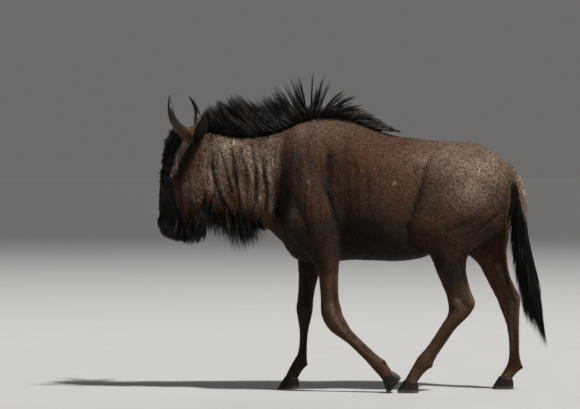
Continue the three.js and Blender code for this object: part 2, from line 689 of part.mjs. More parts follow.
const tuft = [
  solid(loft(tuftRows, { sides: 8, steps: 6 })),
  ...[
    ...run(tuftFront, { count: 5, side: 0, spread: 0, wide: 20, thick: 5 }),
    ...run(tuftMiddle, { count: 4, side: -14, spread: -20, wide: 20, thick: 5 }),
    ...run(tuftMiddle, { count: 4, side: 14, spread: 20, wide: 20, thick: 5 }),
    ...run(tuftBack, { count: 4, side: 0, spread: 0, wide: 20, thick: 5 }),
  ].map(({ piece }) => piece),
];

const growing = [...mane, ...beard];
const napeX = cuts.nape[0][0];
// The shoulder cut's x at a height
const [shoulderAt, shoulderWay] = cuts.shoulder;
const shoulderX = (z) => shoulderAt[0] - ((z - shoulderAt[2]) * shoulderWay[2]) / shoulderWay[0];
const rooted = (test) => growing.filter(({ root }) => test(root)).map(({ piece }) => piece);
const isHead = ([x]) => x < napeX;
const isTorso = ([x, , z]) => x > shoulderX(z);
const hairs = {
  head: join(inFront(join(rooted(isHead), crest, fringe), cuts.nape), [...brush, ...jaw].map((l) => l.piece)),
  neck: join(rooted((root) => !isHead(root) && !isTorso(root)), crest, fringe),
  torso: join(rooted(isTorso), crest),
};

// Nodes

const grownHead = headForm(gap);
const nodes = new Map();
nodes.set("head", join(headDetail(headPart), inFront(hairs.head, cuts.nape)));
nodes.set("neck", join(neckPart, inFront(behind(hairs.neck, cuts.nape), cuts.shoulder)));
nodes.set("torso", join(torsoPart, behind(hairs.torso, cuts.shoulder)));
nodes.set("hindquarters", hindPart);
for (const [name, way] of [["left", -1], ["right", 1]]) {
  nodes.set(`eye_${name}`, solid(turnHead(eyeball(way, eye.radius))));
  nodes.set(`horn_${name}`, hornSide(way).subtract(grownHead));
  nodes.set(`ear_${name}`, earSide(way).subtract(grownHead));
}
const legs = {
  foreleg_left: legParts(leftForeRows, feet.left_fore, true),
  foreleg_right: legParts(rightForeRows, feet.right_fore, true),
  hindleg_left: legParts(leftHindRows, feet.left_hind, false),
  hindleg_right: legParts(rightHindRows, feet.right_hind, false),
};
for (const [name, { upper, lower }] of Object.entries(legs)) {
  nodes.set(`${name}_upper`, upper);
  nodes.set(`${name}_lower`, lower);
}
const grownRump = join(
  solid(loft(torsoRows, { sides: 24, steps: 18, grow: gap })),
  solid(legLoft(leftHindRows, feet.left_hind, { sides: 10, steps: 21, grow: gap })),
  solid(legLoft(rightHindRows, feet.right_hind, { sides: 10, steps: 21, grow: gap })),
);
nodes.set("tail", join(solid(loft(tailRows, { sides: 8, steps: 12 })), tuft).subtract(grownRump));
for (const [name, foot] of Object.entries(feet)) {
  nodes.set(`hoof_${name}_inner`, claw(foot, -Math.sign(foot.side)));
  nodes.set(`hoof_${name}_outer`, claw(foot, Math.sign(foot.side)));
}

// Finishes, by the first word of a node's name
const finishes = {
  head: { color: 0x332822, roughness: 0.75 },
  neck: { color: 0x4f3d32, roughness: 0.85 },
  torso: { color: 0x422c1e, roughness: 0.8 },
  hindquarters: { color: 0x5a4839, roughness: 0.8 },
  foreleg: { color: 0x44352b, roughness: 0.8 },
  hindleg: { color: 0x4a3729, roughness: 0.8 },
  tail: { color: 0x171614, roughness: 0.55 },
  ear: { color: 0x3f2b20, roughness: 0.8 },
  eye: { color: 0x0c0a09, roughness: 0.1 },
  horn: { color: 0x4d3d32, roughness: 0.45 },
  hoof: { color: 0x2c2622, roughness: 0.5 },
};
const kindOf = (name) => name.split("_")[0];
const finishOf = (name) => new THREE.MeshStandardMaterial({ ...finishes[kindOf(name)], metalness: 0 });

const group = new THREE.Group();
for (const [name, piece] of nodes) {
  const mesh = largest(piece).getMesh();
  const geometry = new THREE.BufferGeometry();
  geometry.setAttribute("position", new THREE.BufferAttribute(new Float32Array(mesh.vertProperties), 3));
  geometry.setIndex(new THREE.BufferAttribute(new Uint32Array(mesh.triVerts), 1));
  const part = new THREE.Mesh(geometry, finishOf(name));
  part.name = name;
  group.add(part);
}

export default group;
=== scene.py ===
import math

import bmesh
import bpy
import numpy as np
from mathutils import Matrix, Vector, bvhtree, noise


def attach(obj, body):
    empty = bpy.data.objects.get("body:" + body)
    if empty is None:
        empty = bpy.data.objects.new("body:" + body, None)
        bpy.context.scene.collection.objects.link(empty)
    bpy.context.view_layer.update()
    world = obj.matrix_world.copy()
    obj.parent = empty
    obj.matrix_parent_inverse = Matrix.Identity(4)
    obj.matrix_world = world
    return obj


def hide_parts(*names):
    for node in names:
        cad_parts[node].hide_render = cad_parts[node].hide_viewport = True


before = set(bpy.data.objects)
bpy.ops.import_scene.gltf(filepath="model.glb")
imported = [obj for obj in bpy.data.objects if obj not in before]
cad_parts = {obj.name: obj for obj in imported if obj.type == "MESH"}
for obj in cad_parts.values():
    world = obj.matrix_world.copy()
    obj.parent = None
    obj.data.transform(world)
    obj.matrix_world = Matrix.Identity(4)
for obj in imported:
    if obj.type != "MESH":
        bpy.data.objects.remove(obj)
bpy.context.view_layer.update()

# Skin. One closed hide over neck, body, head, legs and the tail's bony dock, so that no seam shows. Tubes are
# drawn through sections taken across each form, melted into one body, and then modelled with muscle, bone and
# folds.
mm = 0.001
touching = 1e-6
coat_depth = 4
poll_x = -725
head_turn = math.radians(-17)
round_section = 2.2
skin_spacing = 9.5
smoothing_rounds = 7


def table(names, *rows, **same):
    """Rows of values by name. A row may leave out its last values, and same holds what all rows share."""
    return [dict(same, **dict(zip(names.split(), row))) for row in rows]


# Sections in millimetres: over is the upper or front edge at x, z, under the lower or rear one, and wide is
# half the width. Lean narrows a section towards its first edge, turn is its share of the head's turn, side is
# how far its middle lies from the body's.
torso_rows = table(
    "over under wide lean",
    ((-260, 1343), (-360, 765), 110, 0.3),
    ((-200, 1368), (-285, 660), 150, 0.34),
    ((-140, 1377), (-170, 636), 168, 0.36),
    ((-70, 1372), (-60, 648), 184, 0.34),
    ((0, 1357), (15, 653), 198, 0.27),
    ((90, 1320), (100, 650), 208, 0.18),
    ((190, 1285), (200, 646), 212, 0.12),
    ((280, 1270), (280, 651), 207, 0.08),
    ((365, 1261), (350, 664), 196, 0.05),
    ((450, 1252), (420, 695), 186, 0.06),
    ((530, 1253), (490, 725), 180, 0.1),
    ((610, 1247), (570, 740), 172, 0.14),
    ((680, 1215), (640, 755), 152, 0.16),
    ((740, 1172), (710, 775), 128, 0.12),
    ((780, 1133), (765, 830), 92, 0.05),
    ((795, 1085), (785, 915), 48),
)
neck_rows = table(
    "over under wide lean turn",
    ((-760, 1285), (-745, 955), 60, 0.22, 1),
    ((-700, 1300), (-710, 910), 72, 0.22, 0.9),
    ((-650, 1288), (-680, 885), 78, 0.22, 0.6),
    ((-585, 1278), (-625, 865), 86, 0.22, 0.3),
    ((-520, 1275), (-570, 850), 95, 0.22, 0.1),
    ((-450, 1280), (-505, 835), 106, 0.22),
    ((-385, 1292), (-445, 820), 121, 0.22),
    ((-320, 1320), (-400, 795), 137, 0.22),
    ((-260, 1347), (-365, 760), 148, 0.22),
    ((-200, 1335), (-300, 705), 142, 0.22),
)
head_rows = table(
    "over under wide lean",
    ((-852, 1313), (-785, 1323), 16),
    ((-877, 1302), (-760, 1318), 40),
    ((-901, 1280), (-725, 1285), 66),
    ((-921, 1240), (-694, 1225), 79),
    ((-936, 1195), (-678, 1155), 84),
    ((-948, 1145), (-673, 1085), 85),
    ((-957, 1095), (-678, 1015), 82),
    ((-965, 1045), (-699, 950), 74),
    ((-970, 995), (-735, 900), 64),
    ((-974, 945), (-767, 865), 56),
    ((-977, 900), (-793, 830), 53, 0.05),
    ((-978, 860), (-810, 800), 56, -0.05),
    ((-976, 820), (-822, 775), 61, -0.08),
    ((-965, 787), (-831, 757), 59, -0.05),
    ((-945, 767), (-850, 748), 45),
    ((-913, 757), (-879, 747), 16),
    full=2.5,
    lean=0.14,
    turn=1,
    tilt=True,
)
shoulder_rows = table(
    "over under side wide",
    ((-215, 1295), (-140, 1305), 50, 16),
    ((-262, 1205), (-115, 1215), 88, 34),
    ((-308, 1080), (-105, 1095), 118, 50),
)
leg_rows = {
    "left_fore": shoulder_rows + table(
        "over under side wide",
        ((-340, 955), (-100, 975), 132, 60),
        ((-345, 845), (-75, 855), 135, 62),
        ((-300, 755), (-60, 765), 132, 58),
        ((-230, 685), (-60, 695), 125, 50),
        ((-180, 615), (-65, 630), 121, 43),
        ((-165, 530), (-68, 540), 119, 38),
        ((-160, 455), (-65, 470), 118, 35),
        ((-158, 400), (-60, 425), 118, 35),
        ((-143, 350), (-45, 388), 118, 36),
        ((-110, 305), (-25, 352), 118, 32),
        ((-70, 275), (-5, 317), 118, 27),
        ((-25, 243), (25, 285), 118, 25),
        ((20, 200), (68, 243), 118, 25),
        ((63, 158), (112, 202), 118, 28),
        ((98, 118), (160, 160), 118, 33),
        ((128, 86), (186, 128), 118, 32),
    ),
    "right_fore": shoulder_rows + table(
        "over under side wide",
        ((-345, 955), (-105, 975), 132, 60),
        ((-352, 845), (-90, 855), 135, 62),
        ((-320, 750), (-90, 760), 132, 58),
        ((-278, 670), (-115, 685), 125, 50),
        ((-270, 600), (-150, 610), 121, 43),
        ((-270, 520), (-175, 525), 119, 38),
        ((-275, 455), (-188, 460), 118, 35),
        ((-280, 405), (-193, 405), 118, 36),
        ((-273, 350), (-202, 350), 118, 32),
        ((-265, 295), (-215, 290), 118, 25),
        ((-266, 230), (-220, 230), 118, 24),
        ((-273, 180), (-222, 170), 118, 28),
        ((-292, 145), (-224, 125), 118, 33),
        ((-318, 100), (-252, 80), 118, 31),
    ),
    "left_hind": table(
        "over under side wide",
        ((440, 1205), (650, 1210), 62, 50),
        ((395, 1130), (725, 1145), 88, 72),
        ((360, 1030), (770, 1055), 110, 76),
        ((330, 930), (780, 955), 119, 84),
        ((320, 830), (745, 860), 123, 82),
        ((340, 745), (670, 765), 123, 72),
        ((385, 675), (590, 705), 119, 59),
        ((413, 605), (565, 635), 115, 48),
        ((440, 540), (578, 550), 112, 40),
        ((463, 485), (595, 492), 110, 35),
        ((475, 433), (613, 440), 109, 34),
        ((470, 385), (583, 385), 108, 34),
        ((440, 338), (517, 318), 108, 29),
        ((403, 280), (463, 240), 108, 26),
        ((365, 225), (425, 185), 108, 26),
        ((325, 180), (396, 135), 108, 32),
        ((290, 120), (350, 85), 108, 30),
    ),
    "right_hind": table(
        "over under side wide",
        ((440, 1205), (650, 1210), 62, 50),
        ((405, 1130), (735, 1145), 88, 72),
        ((380, 1030), (780, 1055), 110, 76),
        ((385, 930), (795, 955), 118, 82),
        ((425, 830), (800, 860), 120, 78),
        ((490, 740), (795, 765), 118, 68),
        ((570, 690), (785, 705), 114, 57),
        ((630, 638), (788, 635), 110, 46),
        ((665, 580), (800, 575), 107, 39),
        ((695, 520), (825, 520), 105, 34),
        ((730, 455), (852, 463), 104, 34),
        ((755, 390), (850, 395), 103, 32),
        ((778, 325), (848, 330), 103, 27),
        ((790, 255), (848, 255), 103, 25),
        ((793, 180), (850, 175), 103, 27),
        ((785, 128), (860, 112), 103, 32),
        ((765, 90), (828, 72), 103, 30),
    ),
}
dock_rows = table(
    "over under wide",
    ((740, 1165), (745, 1080), 38),
    ((790, 1135), (772, 1075), 34),
    ((830, 1095), (797, 1050), 29),
    ((860, 1035), (817, 1010), 25),
    ((875, 960), (830, 955), 22),
    ((876, 880), (834, 880), 20),
    ((877, 805), (840, 802), 18),
    ((887, 730), (855, 722), 15),
    ((900, 665), (875, 655), 11),
)
# Hooves: where each stands, and the lift of its heel about the toe
feet = {
    "left_fore": dict(x=239, side=-118, pitch=math.radians(52), sink=5),
    "right_fore": dict(x=-306, side=118, pitch=0, sink=0),
    "left_hind": dict(x=286, side=-108, pitch=0, sink=0),
    "right_hind": dict(x=774, side=103, pitch=0, sink=0),
}
claw_rows = table(
    "over under wide",
    ((-62, 0), (40, 0), 18),
    ((-61, 8), (42, 7), 20),
    ((-47, 31), (42, 28), 20),
    ((-31, 56), (38, 50), 18),
)
claw_side = 21.5


def along(rows, key, u, default=0.0):
    """The value of key at place u on a smooth line through all the rows."""
    i = min(int(u), len(rows) - 2)
    t = u - i
    a, b, c, d = (
        np.array(rows[min(max(k, 0), len(rows) - 1)].get(key, default), float) for k in range(i - 1, i + 3)
    )
    return b + 0.5 * t * (c - a + t * (2 * a - 5 * b + 4 * c - d + t * (3 * (b - c) + d - a)))


def spread(bm, place, across, long):
    """A sheet bent to a shape. place gives a point for two shares, each from 0 to 1."""
    made = bmesh.ops.create_grid(bm, x_segments=across, y_segments=long, size=1)["verts"]
    for v in made:
        v.co = place((v.co.x + 1) / 2, (v.co.y + 1) / 2)
    return made


def tube(bm, place, sides, steps):
    """A sheet wrapped round into a tube and closed at both ends, by its turn and its height."""
    made = spread(bm, place, sides, steps)
    bmesh.ops.remove_doubles(bm, verts=made, dist=touching)
    made = [v for v in made if v.is_valid]
    rims = {e for v in made for e in v.link_edges if e.is_boundary}
    bmesh.ops.holes_fill(bm, edges=list(rims), sides=0)
    faces = {f for v in made for f in v.link_faces}
    bmesh.ops.recalc_face_normals(bm, faces=list(faces))
    return made


def form(bm, rows, sides, steps, shrink=0.0, mirror=1):
    """A closed form through section rows, thinner by shrink all round."""

    def place(turn, height):
        u = height * (len(rows) - 1)
        over, under = along(rows, "over", u, (0, 0)), along(rows, "under", u, (0, 0))
        wide, side = along(rows, "wide", u) - shrink, along(rows, "side", u) * mirror
        lean, full = along(rows, "lean", u), along(rows, "full", u, round_section)
        yaw = along(rows, "turn", u) * head_turn
        half = np.linalg.norm(over - under) / 2
        up = (over - under) / (2 * half)
        a = 2 * math.pi * turn
        across, rise = (math.copysign(abs(v) ** (2 / full), v) for v in (math.cos(a), math.sin(a)))
        y = wide * across * (1 - lean * rise)
        x, z = (over + under) / 2 + up * (half - shrink) * rise
        if rows[0].get("tilt"):
            x, y = turned(x, y)
        else:
            x, y = x - y * math.sin(yaw), y * math.cos(yaw)
        return Vector((x, side + y, z)) * mm

    return tube(bm, place, sides, steps)


def turned(x, y, turn=head_turn):
    """A point of the head, moved with the head's turn about the poll."""
    dx = x - poll_x
    return poll_x + dx * math.cos(turn) - y * math.sin(turn), dx * math.sin(turn) + y * math.cos(turn)


def foot_point(point, foot):
    """A point of a foot in the side view, once its heel is lifted about the toe."""
    toe = foot["x"] + claw_rows[0]["over"][0]
    dx, dz = point[0] + foot["x"] - toe, point[1]
    c, s = math.cos(foot["pitch"]), math.sin(foot["pitch"])
    return toe + dx * c - dz * s, dx * s + dz * c - foot["sink"]


def near_line(at, line):
    """How far each place lies from a bent line, both in the side view."""
    best = np.full(len(at), 1e9)
    for a, b in zip(line, line[1:]):
        a, b = np.array(a, float), np.array(b, float)
        t = np.clip((at - a) @ (b - a) / ((b - a) @ (b - a)), 0, 1)
        best = np.minimum(best, np.linalg.norm(at - a - t[:, None] * (b - a), axis=1))
    return best


def ease(value, start, end):
    """0 up to start, 1 from end on, with a smooth rise between."""
    t = np.clip((value - start) / (end - start), 0, 1)
    return t * t * (3 - 2 * t)


def unturned(points):
    """Points moved back to where they would be if the head looked straight ahead."""
    x, y = turned(points[:, 0], points[:, 1], -head_turn)
    return np.stack([x, y, points[:, 2]], axis=1)


def finer(mesh, wanted, even):
    """Halves the faces where wanted says so, and evens them out."""
    bm = bmesh.new()
    bm.from_mesh(mesh)
    chosen = wanted(unturned(np.array([v.co for v in bm.verts]) / mm))
    edges = [e for e in bm.edges if chosen[e.verts[0].index] and chosen[e.verts[1].index]]
    parted = bmesh.ops.subdivide_edges(bm, edges=edges, cuts=1, use_grid_fill=True)
    inner = list({v for v in parted["geom_inner"] if isinstance(v, bmesh.types.BMVert)})
    for _ in range(even):
        bmesh.ops.smooth_vert(
            bm, verts=inner, factor=0.5, use_axis_x=True, use_axis_y=True, use_axis_z=True
        )
    bm.to_mesh(mesh)
    bm.free()


def read(mesh):
    """A mesh's points and their outward directions, in millimetres."""
    at, out = np.empty(3 * len(mesh.vertices)), np.empty(3 * len(mesh.vertices))
    mesh.vertices.foreach_get("co", at)
    mesh.vertex_normals.foreach_get("vector", out)
    return at.reshape(-1, 3) / mm, out.reshape(-1, 3)


def write(mesh, at):
    """Moves a mesh's points to places given in millimetres."""
    mesh.vertices.foreach_set("co", (at * mm).ravel())
    mesh.update()


def finished(bm, name):
    """The mesh that a bmesh has been shaped into."""
    mesh = bpy.data.meshes.new(name)
    bm.to_mesh(mesh)
    bm.free()
    return mesh


bm = bmesh.new()
form(bm, torso_rows, 64, 90, coat_depth)
form(bm, neck_rows, 56, 50, coat_depth)
form(bm, head_rows, 64, 90, coat_depth / 2)
form(bm, dock_rows, 24, 50, 1)
for name, rows in leg_rows.items():
    foot = feet[name]
    top = claw_rows[-1]
    end = dict(
        over=foot_point(top["over"], foot),
        under=foot_point(top["under"], foot),
        side=abs(foot["side"]),
        wide=2 * claw_side - 3,
    )
    form(bm, rows + [end], 32, 100, coat_depth / 2, mirror=math.copysign(1, foot["side"]))

# Brows and the swellings that carry the horns, as balls in the unturned head: middle, radii
swellings = [((-868, 22, 1104), (62, 53, 56)), ((-806, 40, 1262), (48, 43, 38))]
# The wings of the nostrils and the soft sides of the muzzle
swellings += [((-944, 34, 845), (33, 27, 38)), ((-900, 26, 800), (58, 34, 36))]
for middle, radii in swellings:
    for way in (-1, 1):
        place = Matrix.LocRotScale(
            Vector((middle[0], way * middle[1], middle[2])) * mm, None, Vector(radii) * mm
        )
        made = bmesh.ops.create_uvsphere(bm, u_segments=28, v_segments=18, radius=1, matrix=place)
        bmesh.ops.translate(bm, verts=made["verts"], vec=(-poll_x * mm, 0, 0))
        bmesh.ops.rotate(bm, verts=made["verts"], matrix=Matrix.Rotation(head_turn, 3, "Z"))
        bmesh.ops.translate(bm, verts=made["verts"], vec=(poll_x * mm, 0, 0))
# Dewclaws, the two small false hooves behind each fetlock
for name, rows in leg_rows.items():
    over, under = np.array(rows[-2]["over"], float), np.array(rows[-2]["under"], float)
    back = (under - over) / np.linalg.norm(under - over)
    for way in (-1, 1):
        at = Vector((under[0] - back[0] * 8, feet[name]["side"] + way * 15, under[1] - back[1] * 8 - 4))
        place = Matrix.LocRotScale(at * mm, None, Vector((14, 10, 16)) * mm)
        bmesh.ops.create_uvsphere(bm, u_segments=16, v_segments=12, radius=1, matrix=place)
raw = bpy.data.objects.new("raw", finished(bm, "hide"))
bpy.context.scene.collection.objects.link(raw)
melt = raw.modifiers.new("melt", "REMESH")
melt.mode = "VOXEL"
melt.voxel_size = skin_spacing * mm
even = raw.modifiers.new("even", "SMOOTH")
even.factor = 0.5
even.iterations = smoothing_rounds
skin_mesh = bpy.data.meshes.new_from_object(raw.evaluated_get(bpy.context.evaluated_depsgraph_get()))
skin_mesh.name = "skin"
bpy.data.objects.remove(raw)

# The head has finer skin than the body, and finest round the eyes, the nostrils and the lips
eye_at, eye_radius = (-897, 56, 1070), 21
nostril_at = (-968, 50, 838)
lip_line = [(-846, 880), (-852, 840), (-859, 792), (-868, 750)]


def side_gap(head, middle):
    """How far points of the unturned head lie from one place, in the side view."""
    return np.linalg.norm((head - middle) * (1, 0, 1), axis=1)


finer(skin_mesh, lambda head: (head[:, 0] < -715) & (head[:, 2] < 1330), 3)
finer(
    skin_mesh,
    lambda head: (side_gap(head, eye_at) < 46) & (head[:, 0] < -840)
    | (side_gap(head, nostril_at) < 45)
    | (near_line(head[:, [0, 2]], lip_line) < 20) & (head[:, 2] < 900),
    2,
)
finer(skin_mesh, lambda head: (side_gap(head, eye_at) < 30) & (head[:, 0] < -840), 2)

# Muscle and bone, on both sides of the body: middle x, z; reach in x, z; height
swells = [
    ((-225, 1080), (60, 190), 5),
    ((-185, 930), (80, 140), 13),
    ((-40, 900), (45, 120), -10),
    ((-30, 1100), (50, 110), -5),
    ((490, 1110), (120, 130), 13),
    ((540, 960), (130, 110), 9),
    ((520, 1228), (40, 26), 5),
    ((640, 960), (110, 150), 6),
    ((-330, 810), (60, 70), 5),
    ((355, 1190), (50, 40), -13),
    ((300, 1040), (50, 100), -10),
    ((245, 900), (60, 110), -13),
    ((20, 1010), (130, 170), 3),
    ((-560, 1080), (110, 90), 4),
    ((-308, 880), (34, 38), 7),
    ((365, 835), (60, 50), 6),
    ((-68, 752), (24, 24), 5),
    ((-130, 660), (40, 70), 7),
    ((-75, 600), (22, 60), -5),
    ((-300, 1110), (40, 120), 7),
    ((-110, 1230), (60, 70), 6),
    ((480, 640), (46, 60), 5),
    ((700, 1010), (50, 90), 5),
]
# Folds and hollows: line in the side view, depth, reach, and the one side it is on, or 0 for both
folds = [
    ([(-335, 1290), (-358, 1155), (-372, 1005), (-378, 890)], 4, 14, 0),
    ([(-122, 1170), (-134, 1100), (-136, 1005), (-112, 930), (-80, 835), (-55, 745)], 5, 14, 0),
    ([(-222, 1210), (-205, 1080), (-190, 990)], 3, 20, 0),
    ([(-290, 960), (-240, 870), (-215, 790)], 5, 20, 0),
    ([(445, 1228), (392, 1187), (360, 1115), (320, 975), (290, 875), (268, 812)], 5, 10, 0),
    ([(278, 820), (305, 745), (352, 700)], 9, 17, 0),
    ([(778, 1050), (765, 980), (744, 907), (655, 838), (590, 770)], 4, 13, 0),
    ([(650, 916), (575, 851), (464, 805)], 4, 18, 0),
    ([(-705, 1250), (-695, 1100), (-655, 975), (-612, 905)], 11, 15, 0),
    ([(-667, 1235), (-640, 1150), (-598, 1005)], 7, 11, 0),
    ([(-607, 1235), (-585, 1085), (-560, 940)], 9, 13, 0),
    ([(-560, 1200), (-532, 1130), (-520, 1040)], 5, 10, 0),
    ([(-505, 1225), (-478, 1110), (-480, 960)], 9, 13, 0),
    ([(-450, 1150), (-428, 1030), (-430, 915)], 8, 14, 0),
    ([(-708, 1135), (-688, 1060), (-690, 990), (-706, 945), (-724, 895)], 9, 9, 0),
    ([(-50, 338), (-25, 304), (10, 272), (53, 230), (95, 190)], 7, 11, -1),
    ([(-98, 610), (-94, 520), (-86, 450), (-70, 395)], 6, 11, -1),
    ([(-232, 610), (-228, 520), (-224, 440)], 6, 11, 1),
    ([(-228, 350), (-231, 290), (-236, 230), (-240, 180)], 6, 10, 1),
    ([(525, 355), (480, 300), (440, 250), (405, 197), (375, 148)], 6, 11, -1),
    ([(822, 385), (826, 328), (830, 255), (831, 177)], 6, 10, 1),
    ([(528, 660), (545, 590), (565, 510), (580, 462)], 10, 11, -1),
    ([(752, 670), (768, 590), (795, 520), (820, 470)], 9, 11, 1),
]
# Valleys between one mass of muscle and the next: a line of z and x, its depth, and the reach of its two
# slopes, the one towards the head first
valleys = [
    (
        [(690, 300), (740, 285), (812, 268), (875, 290), (975, 320), (1115, 360), (1187, 392), (1240, 455)],
        26,
        26,
        80,
    ),
    ([(690, -52), (745, -55), (835, -80), (930, -112), (1005, -136), (1130, -134), (1230, -120)], 26, 20, 75),
    ([(840, -385), (930, -378), (1005, -372), (1155, -358), (1300, -335)], 17, 18, 60),
    ([(770, 590), (838, 655), (907, 744), (980, 765), (1050, 778)], 10, 30, 22),
]
# Bones and sinews of the legs, each on one leg: middle, reach, height, and the side that the leg is on
knobs = [
    ((-112, 405), (34, 30), 6, -1),
    ((-88, 345), (26, 26), 3, -1),
    ((-232, 405), (32, 36), 6, 1),
    ((505, 440), (26, 30), 7, -1),
    ((785, 430), (28, 32), 7, 1),
    ((556, 440), (18, 30), -8, -1),
    ((500, 425), (14, 20), -4, -1),
    ((-60, 425), (14, 26), 5, -1),
    ((800, 420), (16, 26), -5, 1),
    ((500, 560), (16, 60), 5, -1),
    ((745, 540), (16, 60), 5, 1),
    ((-125, 500), (18, 60), 5, -1),
    ((590, 470), (16, 26), 3, -1),
    ((138, 140), (22, 22), 3, -1),
    ((360, 150), (22, 22), 3, -1),
    ((-258, 130), (22, 22), 3, 1),
    ((822, 130), (22, 22), 3, 1),
]


def hill(value, middle, reach):
    """1 where value is middle, and less and less the further it is from there."""
    return np.exp(-(((value - middle) / reach) ** 2))


def bump(at, middle, reach):
    """A round hill about a place in the side view."""
    return np.exp(-(((at - middle) / reach) ** 2).sum(axis=1))


def on_side(y, one):
    """The share that a form on one side of the body has at each y. One is 0 for a form on both sides."""
    return ease(y * one, 20, 60) if one else 1


def follow(line, value):
    """The second number of a line's points, where the first is value."""
    return np.interp(value, [p[0] for p in line], [p[1] for p in line])


def behind_valley(side, line, fade):
    """How far each place lies behind a valley's bottom, and a share that falls to 0 at its two ends."""
    low, high = line[0][0], line[-1][0]
    within = ease(side[:, 1], low, low + 60) * (1 - ease(side[:, 1], high - fade, high))
    return side[:, 0] - follow(line, side[:, 1]), within


# Each fold has a raised bank on both sides, lower and wider than the fold is deep
bank_height, bank_reach = 0.45, 2.4
swell_height = 1.35
ripple_height = 1.6
at, out = read(skin_mesh)
side = at[:, [0, 2]]
flank = ease(np.abs(out[:, 1]), 0.2, 0.7)
rise = np.zeros(len(at))
for middle, reach, height in swells:
    rise += swell_height * height * flank * bump(side, middle, reach)
for line, depth, reach, one in folds:
    away = near_line(side, line) / reach
    banked = bank_height * hill(away, 0, bank_reach) - hill(away, 0, 1)
    rise += on_side(at[:, 1], one) * flank * depth * banked
for line, depth, before, behind in valleys:
    past, within = behind_valley(side, line, 150)
    rise -= depth * flank * within * np.exp(-np.hypot(past, 4) / np.where(past < 0, before, behind))
for middle, reach, height, one in knobs:
    rise += height * on_side(at[:, 1], one) * bump(side, middle, reach)
ripple = np.array([noise.noise(Vector(p) * 0.012) + 0.5 * noise.noise(Vector(p) * 0.03) for p in at])
rise += ripple_height * ripple * ease(at[:, 2], 300, 700)
write(skin_mesh, at + out * rise[:, None])

# Head. The hide is drawn tight over the skull, with a long face, deep-set eyes, soft wide nostrils and a
# mouth line that runs up from the chin. These are worked in with the head looking straight ahead.


def swung(way, turn):
    """Directions turned about an upright line."""
    c, s = math.cos(turn), math.sin(turn)
    return np.stack([way[:, 0] * c - way[:, 1] * s, way[:, 0] * s + way[:, 1] * c, way[:, 2]], axis=1)


def unit(v):
    """Directions made one long."""
    v = np.asarray(v, float)
    return v / np.maximum(np.linalg.norm(v, axis=-1, keepdims=True), 1e-9)


def retold(points):
    """The opposite of unturned."""
    x, y = turned(points[:, 0], points[:, 1])
    return np.stack([x, y, points[:, 2]], axis=1)


def beside(at, line, reach):
    """1 on a line in the side view, and less and less away from it."""
    return hill(near_line(at, line), 0, reach)


def upright(line):
    """A line that runs down, told from its lower end up as z and x."""
    return [(z, x) for x, z in reversed(line)]


def put(name, mesh, slot, *nodes):
    """A finished piece of the model, which stands for the solids that are named."""
    made = bpy.data.objects.new(name, mesh)
    bpy.context.scene.collection.objects.link(made)
    mesh.shade_smooth()
    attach(made, "root")
    if nodes:
        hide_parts(*nodes)
    return made


lid_depth, lid_drop = 3, 7
gape_tall, gape_wide = 13, 8
nostril_tall, nostril_wide, nostril_deep = 17, 7.5, 16
lip_cut, lip_reach = 7, 4
at, out = read(skin_mesh)
head, head_out = unturned(at), swung(out, -head_turn)
on_head = ease(-head[:, 0], 700, 730) * ease(-head[:, 2], -1330, -1310)
side = head[:, [0, 2]]
flank = ease(np.abs(head_out[:, 1]), 0.15, 0.6)
rise = np.zeros(len(head))
head_swells = [
    ((-765, 1085), (50, 85), 5),
    ((-790, 980), (45, 60), 3),
    ((-944, 1022), (13, 17), 5),
    ((-905, 1118), (30, 12), 5),
    ((-845, 1125), (26, 40), -4),
    ((-925, 955), (26, 45), -3),
    ((-868, 1000), (16, 60), 3),
    ((-925, 800), (40, 26), 3),
    ((-845, 790), (18, 24), 4),
]
head_folds = [
    ([(-885, 1040), (-872, 990), (-868, 930)], 3, 8),
    ([(-932, 1005), (-915, 975), (-905, 940)], 3, 6),
    ([(-925, 1098), (-900, 1107), (-872, 1100)], 3, 6),
    ([(-940, 905), (-925, 870), (-918, 830)], 3, 9),
    ([(-800, 900), (-815, 850), (-835, 815)], 2, 7),
]
for middle, reach, height in head_swells:
    rise += height * flank * bump(side, middle, reach)
for line, depth, reach in head_folds:
    rise -= depth * flank * beside(side, line, reach)
mouth_line = [(-846, 880), (-852, 840), (-859, 792), (-868, 754), (-871, 690)]
away = near_line(side, mouth_line)
front_lip = head[:, 0] < follow(upright(mouth_line), head[:, 2])
lips = (1 - ease(head[:, 2], 865, 895)) * ease(np.hypot(head_out[:, 1], head_out[:, 2]), 0.2, 0.6)
rise += lips * (-lip_cut * hill(away, 0, lip_reach) + 2.5 * hill(away, 10, 6) * front_lip)
head = head + head_out * (rise * on_head)[:, None]
